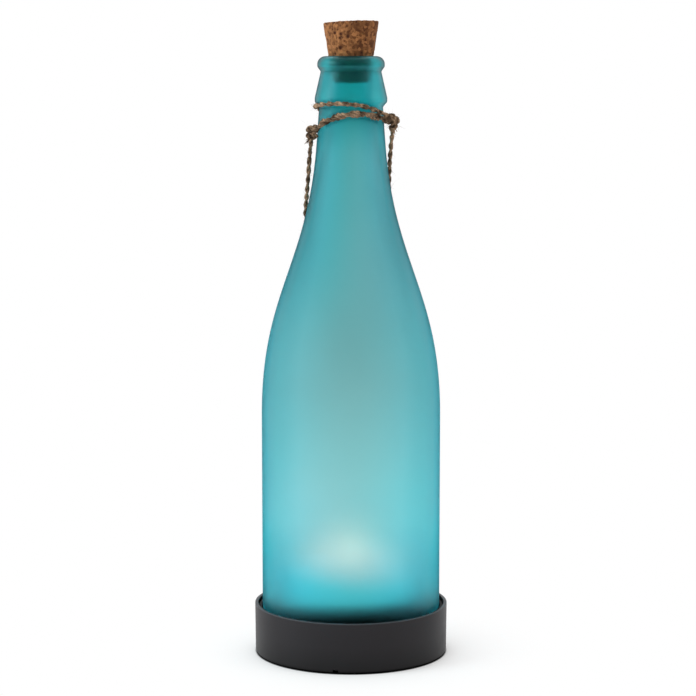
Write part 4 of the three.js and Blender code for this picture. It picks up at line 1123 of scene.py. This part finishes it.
class LAMP_OT_bottle(bpy.types.Operator):
    """Bottle of frosted glass with a hollow foot, a collar and a lip"""
    bl_idname = "lamp.bottle"
    bl_label = "Bottle"

    def execute(self, context):
        """Turns one closed wall: the hollow foot's underside, the outside, the inside, the hollow's top.
        Rows crowd where the winding shades the neck."""
        b, t = context.scene.lamp_bottle, context.scene.lamp_twine
        hollow = BODY_RADIUS - b.heel_radius - b.foot_ring
        dome = np.array([hollow - b.punt_taper, b.punt_depth - b.punt_side])
        spring = (0, FOOT_Z + b.punt_side)
        under = np.vstack([arc(spring, dome, pi / 2, 0, 60), [[hollow, FOOT_Z]]])
        over = np.vstack([
            [[hollow + b.glass_wall, FOOT_Z]], arc(spring, dome + b.glass_wall, 0, pi / 2, 60)])
        over[0] += b.glass_wall / b.punt_side * (over[1] - over[0])
        sides = softened(np.vstack([bottle_outside(b), bottle_inside(b)]), b.melt)
        outline = np.vstack([under, sides, over])
        outline[[0, -1], 0] = 0
        radius, height = outline.T
        winding, reach = below(27), 10 * MM
        wound = (radius > b.bore_radius + b.mouth_round) & (np.abs(winding - height) < reach)
        wall = turned(thinned(outline, 500, crowd=wound), around(144))
        make_piece("frosted_bottle", [wall], glass_material(context.scene.lamp_colours), "teal_glass",
                   "bottle", ["bottle"], crease=180, shade=self.shade(wall.points, b, t))
        return {"FINISHED"}

    def shade(self, points, b, t):
        """Shade of the winding on the outer wall: exp(-(d / w)^2), with d the height beyond a run's
        edge."""
        x, y, z = points.T
        quarter = np.arctan2(-y, -x) / (pi / 2) % 4
        rise = winding_rise(b, t)
        cast = np.zeros(len(points))
        for (first, last, radius), turn in itertools.product(winding_runs(t), (quarter, quarter + 4)):
            beyond = np.maximum(np.abs(z - np.interp(turn, *rise.T)) - radius, 0)
            within = (turn > first) & (turn < last)
            cast = np.maximum(cast, np.exp(-(beyond / t.shade_width) ** 2) * within)
        return cast * (np.hypot(x, y) > b.bore_radius + b.mouth_round)


class LAMP_OT_cork(bpy.types.Operator):
    """Tapered cork with grains and pores"""
    bl_idname = "lamp.cork"
    bl_label = "Cork"

    def execute(self, context):
        """Turns the cork, roughens it with noise, and sinks pores into it: each a bell of its own reach
        and depth."""
        s = context.scene.lamp_base
        rng = np.random.default_rng(41)
        edges = [[0, CORK_LOW], [s.cork_bottom, CORK_LOW], [s.cork_top, CORK_HIGH], [0, CORK_HIGH]]
        body = lathe(edges, 0.5 * s.cork_edge, 190, around(260), bend_share=0.25)
        points = body.points
        inward = -unit(points - [0, 0, 0.5 * (CORK_LOW + CORK_HIGH)])
        rough = sum(height * MM * (value_noise(points, cell * MM, seed) - 0.5)
                    for height, cell, seed in ((0.45, 1.6, 3), (0.22, 0.7, 4)))
        share = (points[:, 2] - CORK_LOW) / (CORK_HIGH - CORK_LOW)
        across = points[:, 0] / s.cork_top
        crowd = across - 0.5 * share < rng.normal(-0.25, 0.5, len(points))
        pores = 340
        centres = rng.choice(points[crowd], pores)
        reaches = MM * (0.27 + rng.gamma(2, 0.18, pores))
        pit = np.zeros(len(points))
        for centre, reach, depth in zip(centres, reaches, rng.uniform(0.3, 1.0, pores)):
            away = ((points - centre) ** 2).sum(1) / reach ** 2
            pit = np.maximum(pit, depth * np.exp(-2.2 * away))
        worn = points + inward * (rough + s.pore_depth * pit)[:, None]
        worn[:, 2] += share ** 4 * (s.cork_slope * across + s.cork_crown * (0.7 - across ** 2))
        # The pit note darkens the cork in its pores: dark cork, with painted shade of their depth.
        make_piece("cork_stopper", [body._replace(points=worn)], cork_material(context.scene.lamp_colours),
                   "cork", "cork", ["cork"], crease=180, pit=np.clip(pit * 1.8, 0, 1))
        return {"FINISHED"}


class LAMP_OT_cup(bpy.types.Operator):
    """Charcoal cup with its rim, deck, ledge, bosses and ribs"""
    bl_idname = "lamp.cup"
    bl_label = "Base cup"

    def execute(self, context):
        """Turns the cup's closed section, lifts the skirt's edge at its notch, and adds bosses and ribs."""
        s = context.scene.lamp_base
        inner, bore = CUP_RADIUS - s.cup_wall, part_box("led")[1].x + FIT_GAP
        ledge, ledge_top = inner - s.ledge_width, s.ledge_low + s.ledge_thickness
        under = DECK_TOP - s.deck
        section = [
            [bore, under], [inner, under], [inner, ledge_top], [ledge, ledge_top], [ledge, s.ledge_low],
            [inner, s.ledge_low], [inner, SKIRT_Z], [CUP_RADIUS - s.cup_draft, SKIRT_Z],
            [CUP_RADIUS, RIM_Z], [inner, RIM_Z], [inner, DECK_TOP], [bore, DECK_TOP]]
        half = s.notch_width / 2 / CUP_RADIUS
        middle = -pi / 2 - s.notch_offset / CUP_RADIUS
        sides = np.array([-1.08, -1.0, -0.9, 0, 0.9, 1.0, 1.08]) * half + middle
        angles = around(240) - pi
        angles = np.sort(np.r_[angles[np.abs(angles - middle) > 1.3 * half], sides])
        cup = lathe(section, s.cup_edge, 220, angles, closed=True, bend_share=0.8)
        x, y, z = cup.points.T
        raised = SKIRT_Z + 2 * s.notch_height
        cut = (np.abs(np.arctan2(y, x) - middle) < 0.95 * half) & (z < raised)
        cup = cup._replace(points=np.column_stack([x, y, np.where(cut, (z + raised) / 2, z)]))
        top = under + s.boss_root
        make_piece("cup_shell", [cup, *self.bosses(s, top), *self.ribs(s, under, top)],
                   cup_material(context.scene.lamp_colours), "charcoal_plastic", "base", ["base_cup"],
                   crease=40)
        return {"FINISHED"}

    def bosses(self, s, top):
        """Bosses over the cover's and the door's screws, and posts over the board's."""
        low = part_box("bottom_cover")[1].z + SEAT_GAP + s.boss_short
        for node in (*COVER_SCREWS, "door_screw"):
            yield post(middle_of(node)[0], s.boss_radius, low, top, s.cup_edge)
        for node in BOARD_SCREWS:
            yield post(middle_of(node)[0], s.board_boss_radius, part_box(node)[1].z, top, s.cup_edge)

    def ribs(self, s, under, top):
        """Ribs behind the battery's contacts, and cradles along the battery."""
        for node, side in (("positive_contact", 1), ("negative_contact", -1)):
            low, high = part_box(node)
            face = (high.x if side > 0 else low.x) + side * SEAT_GAP
            ends = sorted([face, face + side * s.rib])
            yield slab((ends[0], low.y, low.z), (ends[1], high.y, top), s.cup_edge)
        low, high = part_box("battery")
        left, right = -12.5 * MM, 11.5 * MM
        for near, far in ((low.y - s.rib, low.y - FIT_GAP), (high.y + FIT_GAP, high.y + s.rib)):
            yield slab((left, near, under - s.cradle_drop), (right, far, top), s.cup_edge)


class LAMP_OT_underside(bpy.types.Operator):
    """Bottom cover, battery door, screws, rubber feet and the cover's seal"""
    bl_idname = "lamp.underside"
    bl_label = "Underside"

    def execute(self, context):
        """Dresses the flat plastic pieces, and turns the feet and the screws."""
        colours, s = context.scene.lamp_colours, context.scene.lamp_base
        rubber, steel = rubber_material(colours), steel_material()
        for node in ("bottom_cover", "battery_door"):
            dress(node, cover_material(colours), s.wall_ease)
        dress("cover_seal", rubber)
        for node in FEET:
            low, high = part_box(node)
            foot = post(*middle_of(node), low.z, high.z, FOOT_EDGE)
            make_piece(f"rubber_{node}", [foot], rubber, "black_rubber", "base", [node])
        for node, body, shank in (*((node, "base", 1.3 * MM) for node in COVER_SCREWS),
                                  ("door_screw", "battery_door", 1.0 * MM)):
            make_piece(f"{node}_turned", [self.screw(node, shank)], steel, "steel", body, [node])
        for node in BOARD_SCREWS:
            dress(node, steel)
        return {"FINISHED"}

    def screw(self, node, shank):
        """Screw driven upwards: rings of the head's face sink where a cross lies, |x| or |y| under half
        its width, then the head's side and the shank follow."""
        middle, head = middle_of(node)
        low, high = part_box(node)
        bar, end, soft, deep, crown = 0.35 * MM, 1.3 * MM, 0.12 * MM, 0.45 * MM, 0.12 * MM
        edge, head_top, point = low.z + 0.3 * MM, low.z + 0.9 * MM, high.z - 0.6 * MM
        angles = around(96)
        face = np.linspace(0.02, 0.93, 26)[:, None] * head
        x, y = np.abs(face * np.cos(angles)), np.abs(face * np.sin(angles))
        cross = np.maximum(*(np.clip((bar - a) / soft, 0, 1) * np.clip((end - b) / soft, 0, 1)
                             for a, b in ((x, y), (y, x))))
        top = polar(face, angles, low.z + deep * cross + crown * (face / head) ** 2)
        steps = np.array([
            [head, edge], [head, head_top], [shank, head_top], [shank, point], [0.3 * shank, high.z]])
        radius, height = steps.T[..., None]
        rows = np.concatenate([top, polar(radius, angles, height)])
        return moved(skin(rows, [0, 0, low.z + deep], [0, 0, high.z]), (middle.x, middle.y, 0))


class LAMP_OT_seat(bpy.types.Operator):
    """Rubber ring that the bottle stands in"""
    bl_idname = "lamp.seat"
    bl_label = "Seat ring"

    def execute(self, context):
        """Turns the ring's angled section with soft edges."""
        b, s = context.scene.lamp_bottle, context.scene.lamp_base
        low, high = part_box("seat_ring")
        lip, flat = BODY_RADIUS + FIT_GAP, FOOT_Z - SEAT_GAP
        inner = BODY_RADIUS - b.heel_radius - b.foot_ring + s.seat_inset
        section = [[inner, low.z], [high.x, low.z], [high.x, high.z],
                   [lip, high.z], [lip, flat], [inner, flat]]
        ring = lathe(section, SOFT_EDGE, 90, around(180), closed=True)
        make_piece("seat_ring_moulded", [ring], rubber_material(context.scene.lamp_colours), "black_rubber",
                   "base", ["seat_ring"])
        return {"FINISHED"}


class LAMP_OT_panel(bpy.types.Operator):
    """Ring-shaped solar panel on its foam tape"""
    bl_idname = "lamp.panel"
    bl_label = "Solar panel"

    def execute(self, context):
        """Turns the panel's board and lays eight cells on it."""
        s = context.scene.lamp_base
        low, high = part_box("solar_panel")
        inner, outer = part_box("led_post")[1].x + FIT_GAP, high.x
        top, cells = high.z - s.cell_rise, 8
        section = [[inner, low.z], [outer, low.z], [outer, top], [inner, top]]
        board = lathe(section, SOFT_EDGE, 60, around(160), closed=True)
        make_piece("panel_board", [board], moulded("panel board"), "solar_cell", "base", ["solar_panel"])
        first, last = inner + s.cell_inner_margin, outer - s.cell_outer_margin
        sectors = [self.cell(first, last, top, high.z, tau * k / cells, tau / cells) for k in range(cells)]
        make_piece("panel_cells", sectors, panel_material(context.scene.lamp_colours), "solar_cell", "base")
        dress("panel_pad", moulded("foam tape"))
        return {"FINISHED"}

    def cell(self, inner, outer, low, high, first, turn):
        """Cell: a flat rectangular section in (r, z) carried along an arc, with a gap to the next."""
        gap, columns = 0.35 * MM / inner, 10
        angles = np.linspace(first + gap, first + turn - gap, 24)[:, None]
        r = np.linspace(inner, outer, columns)
        height = np.r_[np.full(columns, low - SEAT_GAP), np.full(columns, high)]
        rows = polar(np.r_[r, r[::-1]], angles, height)[:, ::-1]
        return skin(rows, rows[0].mean(0), rows[-1].mean(0))


class LAMP_OT_light(bpy.types.Operator):
    """Post, LED and clear cap that light the bottle from its hollow foot"""
    bl_idname = "lamp.light"
    bl_label = "Light"

    def execute(self, context):
        """Turns the post, the LED with its two leads, and the cap over it."""
        colours, wall = context.scene.lamp_colours, context.scene.lamp_base.lens_wall
        (_, _, low), (flange, _, high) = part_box("led_post")
        bore, mouth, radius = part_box("led")[1].x + FIT_GAP, 2.8 * MM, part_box("led_lens")[1].x
        section = [[bore, low], [flange, low], [flange, low + wall], [radius, low + wall], [radius, high],
                   [mouth, high], [mouth, high - wall], [bore, high - wall]]
        stem = lathe(section, 0.18 * MM, 110, around(96), closed=True)
        make_piece("led_post_moulded", [stem], moulded("white plastic"), "white_plastic", "base",
                   ["led_post"])
        self.bulb(colours, high - wall - SEAT_GAP)
        self.cap(colours, radius, wall)
        return {"FINISHED"}

    def bulb(self, colours, flange):
        """LED: a flange, a round body and a dome, with two leads below."""
        low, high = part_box("led")
        body, thick, lead, lead_apart = 2.5 * MM, 1 * MM, 0.3 * MM, 1.27 * MM
        outline = np.vstack([
            [[0, flange - thick], [high.x, flange - thick], [high.x, flange], [body, flange]],
            arc((0, high.z - body), (body, body), 0, pi / 2)])
        skins = [lathe(outline, 0.1 * MM, 60, around(64))]
        skins += [post((side * lead_apart, 0), lead, low.z, flange - 0.9 * thick, 0.05 * MM, 12)
                  for side in (-1, 1)]
        make_piece("led_bulb", skins, lens_material("lit resin", colours, strength=2.2, roughness=0.1),
                   "led_resin", "base", ["led"])

    def cap(self, colours, radius, wall):
        """Clear cap: a dome with a wall of even thickness."""
        low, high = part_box("led_lens")
        hollow, dome = radius - wall, high.z - radius
        outline = np.vstack([
            arc((0, dome), (hollow, hollow), pi / 2, 0), [[hollow, low.z], [radius, low.z]],
            arc((0, dome), (radius, radius), 0, pi / 2)])
        make_piece("led_cap", [lathe(outline, 0.12 * MM, 80, around(72))],
                   lens_material("clear lit plastic", colours, strength=1.4, roughness=0.22),
                   "lens_plastic", "base", ["led_lens"])


class LAMP_OT_battery(bpy.types.Operator):
    """Battery, its contacts and the cone spring"""
    bl_idname = "lamp.battery"
    bl_label = "Battery"

    def execute(self, context):
        """Turns the cell along X, winds the spring and dresses the contacts."""
        low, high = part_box("battery")
        radius, length = (high.z - low.z) / 2, high.x - low.x
        centre = np.array([low.x, (low.y + high.y) / 2, (low.z + high.z) / 2])
        nub, body = 1.9 * MM, length - 0.8 * MM
        outline = [[0, 0], [radius, 0], [radius, body], [nub, body], [nub, length], [0, length]]
        cell = lathe(outline, 0.2 * MM, 70, around(96))
        cell = cell._replace(points=cell.points[:, [2, 0, 1]] + centre)
        make_piece("battery_cell", [cell], moulded("battery sleeve", Coat_Weight=0.3), "battery_wrap",
                   "base", ["battery"])
        self.spring(centre)
        for node in ("positive_contact", "negative_contact"):
            dress(node, steel_material(), ease=0.08 * MM)
        return {"FINISHED"}

    def spring(self, centre):
        """Cone spring: x = x0 + p t, with the radius falling from outer to inner over its turns."""
        low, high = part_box("battery_spring")
        turns, wire, wide, narrowing = 2.5, 0.35 * MM, 3.5 * MM, 1.5 * MM
        t = np.linspace(0, 1, 200)
        coil, turn = wide - narrowing * t, tau * turns * t
        path = np.column_stack([low.x + wire + (high.x - low.x - 2 * wire) * t,
                                centre[1] + coil * np.cos(turn), centre[2] + coil * np.sin(turn)])
        make_piece("battery_spring_wound", [tube(path, wire, (1, 0, 0), 12)], steel_material(), "steel",
                   "base", ["battery_spring"])


class LAMP_OT_electronics(bpy.types.Operator):
    """Circuit board, its parts, the switch and the wires"""
    bl_idname = "lamp.electronics"
    bl_label = "Electronics"

    def execute(self, context):
        """Dresses the frame's own solids of the board, the switch and the wires."""
        for node, material in (
                ("circuit_board", moulded("board laminate")), ("controller_chip", moulded("chip resin")),
                ("inductor", moulded("ferrite")), ("switch_housing", steel_material()),
                ("switch_knob", moulded("white plastic"))):
            dress(node, material, ease=0.1 * MM)
        for pole, start in itertools.product(("positive", "negative"), ("led", "panel", "battery")):
            dress(f"{start}_wire_{pole}", moulded(f"{pole} wire"))
        return {"FINISHED"}


class LAMP_PT_panel(bpy.types.Panel):
    """Lists the lamp's pieces in the 3D view's sidebar"""
    bl_idname = "LAMP_PT_panel"
    bl_label = "Solar bottle lamp"
    bl_space_type = "VIEW_3D"
    bl_region_type = "UI"
    bl_category = "Lamp"

    def draw(self, context):
        """One button for each piece, and the sizes and colours below."""
        for operator in OPERATORS:
            self.layout.operator(operator.bl_idname)
        for group in GROUPS:
            settings = getattr(context.scene, group)
            for key in settings.__annotations__:
                self.layout.prop(settings, key)


GROUPS = {"lamp_bottle": BottleSizes, "lamp_twine": TwineSizes, "lamp_base": BaseSizes,
          "lamp_colours": LampColours}
OPERATORS = (LAMP_OT_stage, LAMP_OT_hanger, LAMP_OT_winding, LAMP_OT_knots, LAMP_OT_bottle, LAMP_OT_cork,
             LAMP_OT_cup, LAMP_OT_underside, LAMP_OT_seat, LAMP_OT_panel, LAMP_OT_light, LAMP_OT_battery,
             LAMP_OT_electronics)


def register():
    """Registers the settings, the operators and the panel."""
    for key, group in GROUPS.items():
        bpy.utils.register_class(group)
        setattr(bpy.types.Scene, key, bpy.props.PointerProperty(type=group))
    for part in (*OPERATORS, LAMP_PT_panel):
        bpy.utils.register_class(part)


def unregister():
    """Removes what register added."""
    for part in (LAMP_PT_panel, *reversed(OPERATORS)):
        bpy.utils.unregister_class(part)
    for key, group in GROUPS.items():
        delattr(bpy.types.Scene, key)
        bpy.utils.unregister_class(group)


def main():
    """Builds the lamp piece by piece."""
    register()
    for operator in OPERATORS:
        family, name = operator.bl_idname.split(".")
        getattr(getattr(bpy.ops, family), name)()


if __name__ == "__main__":
    main()
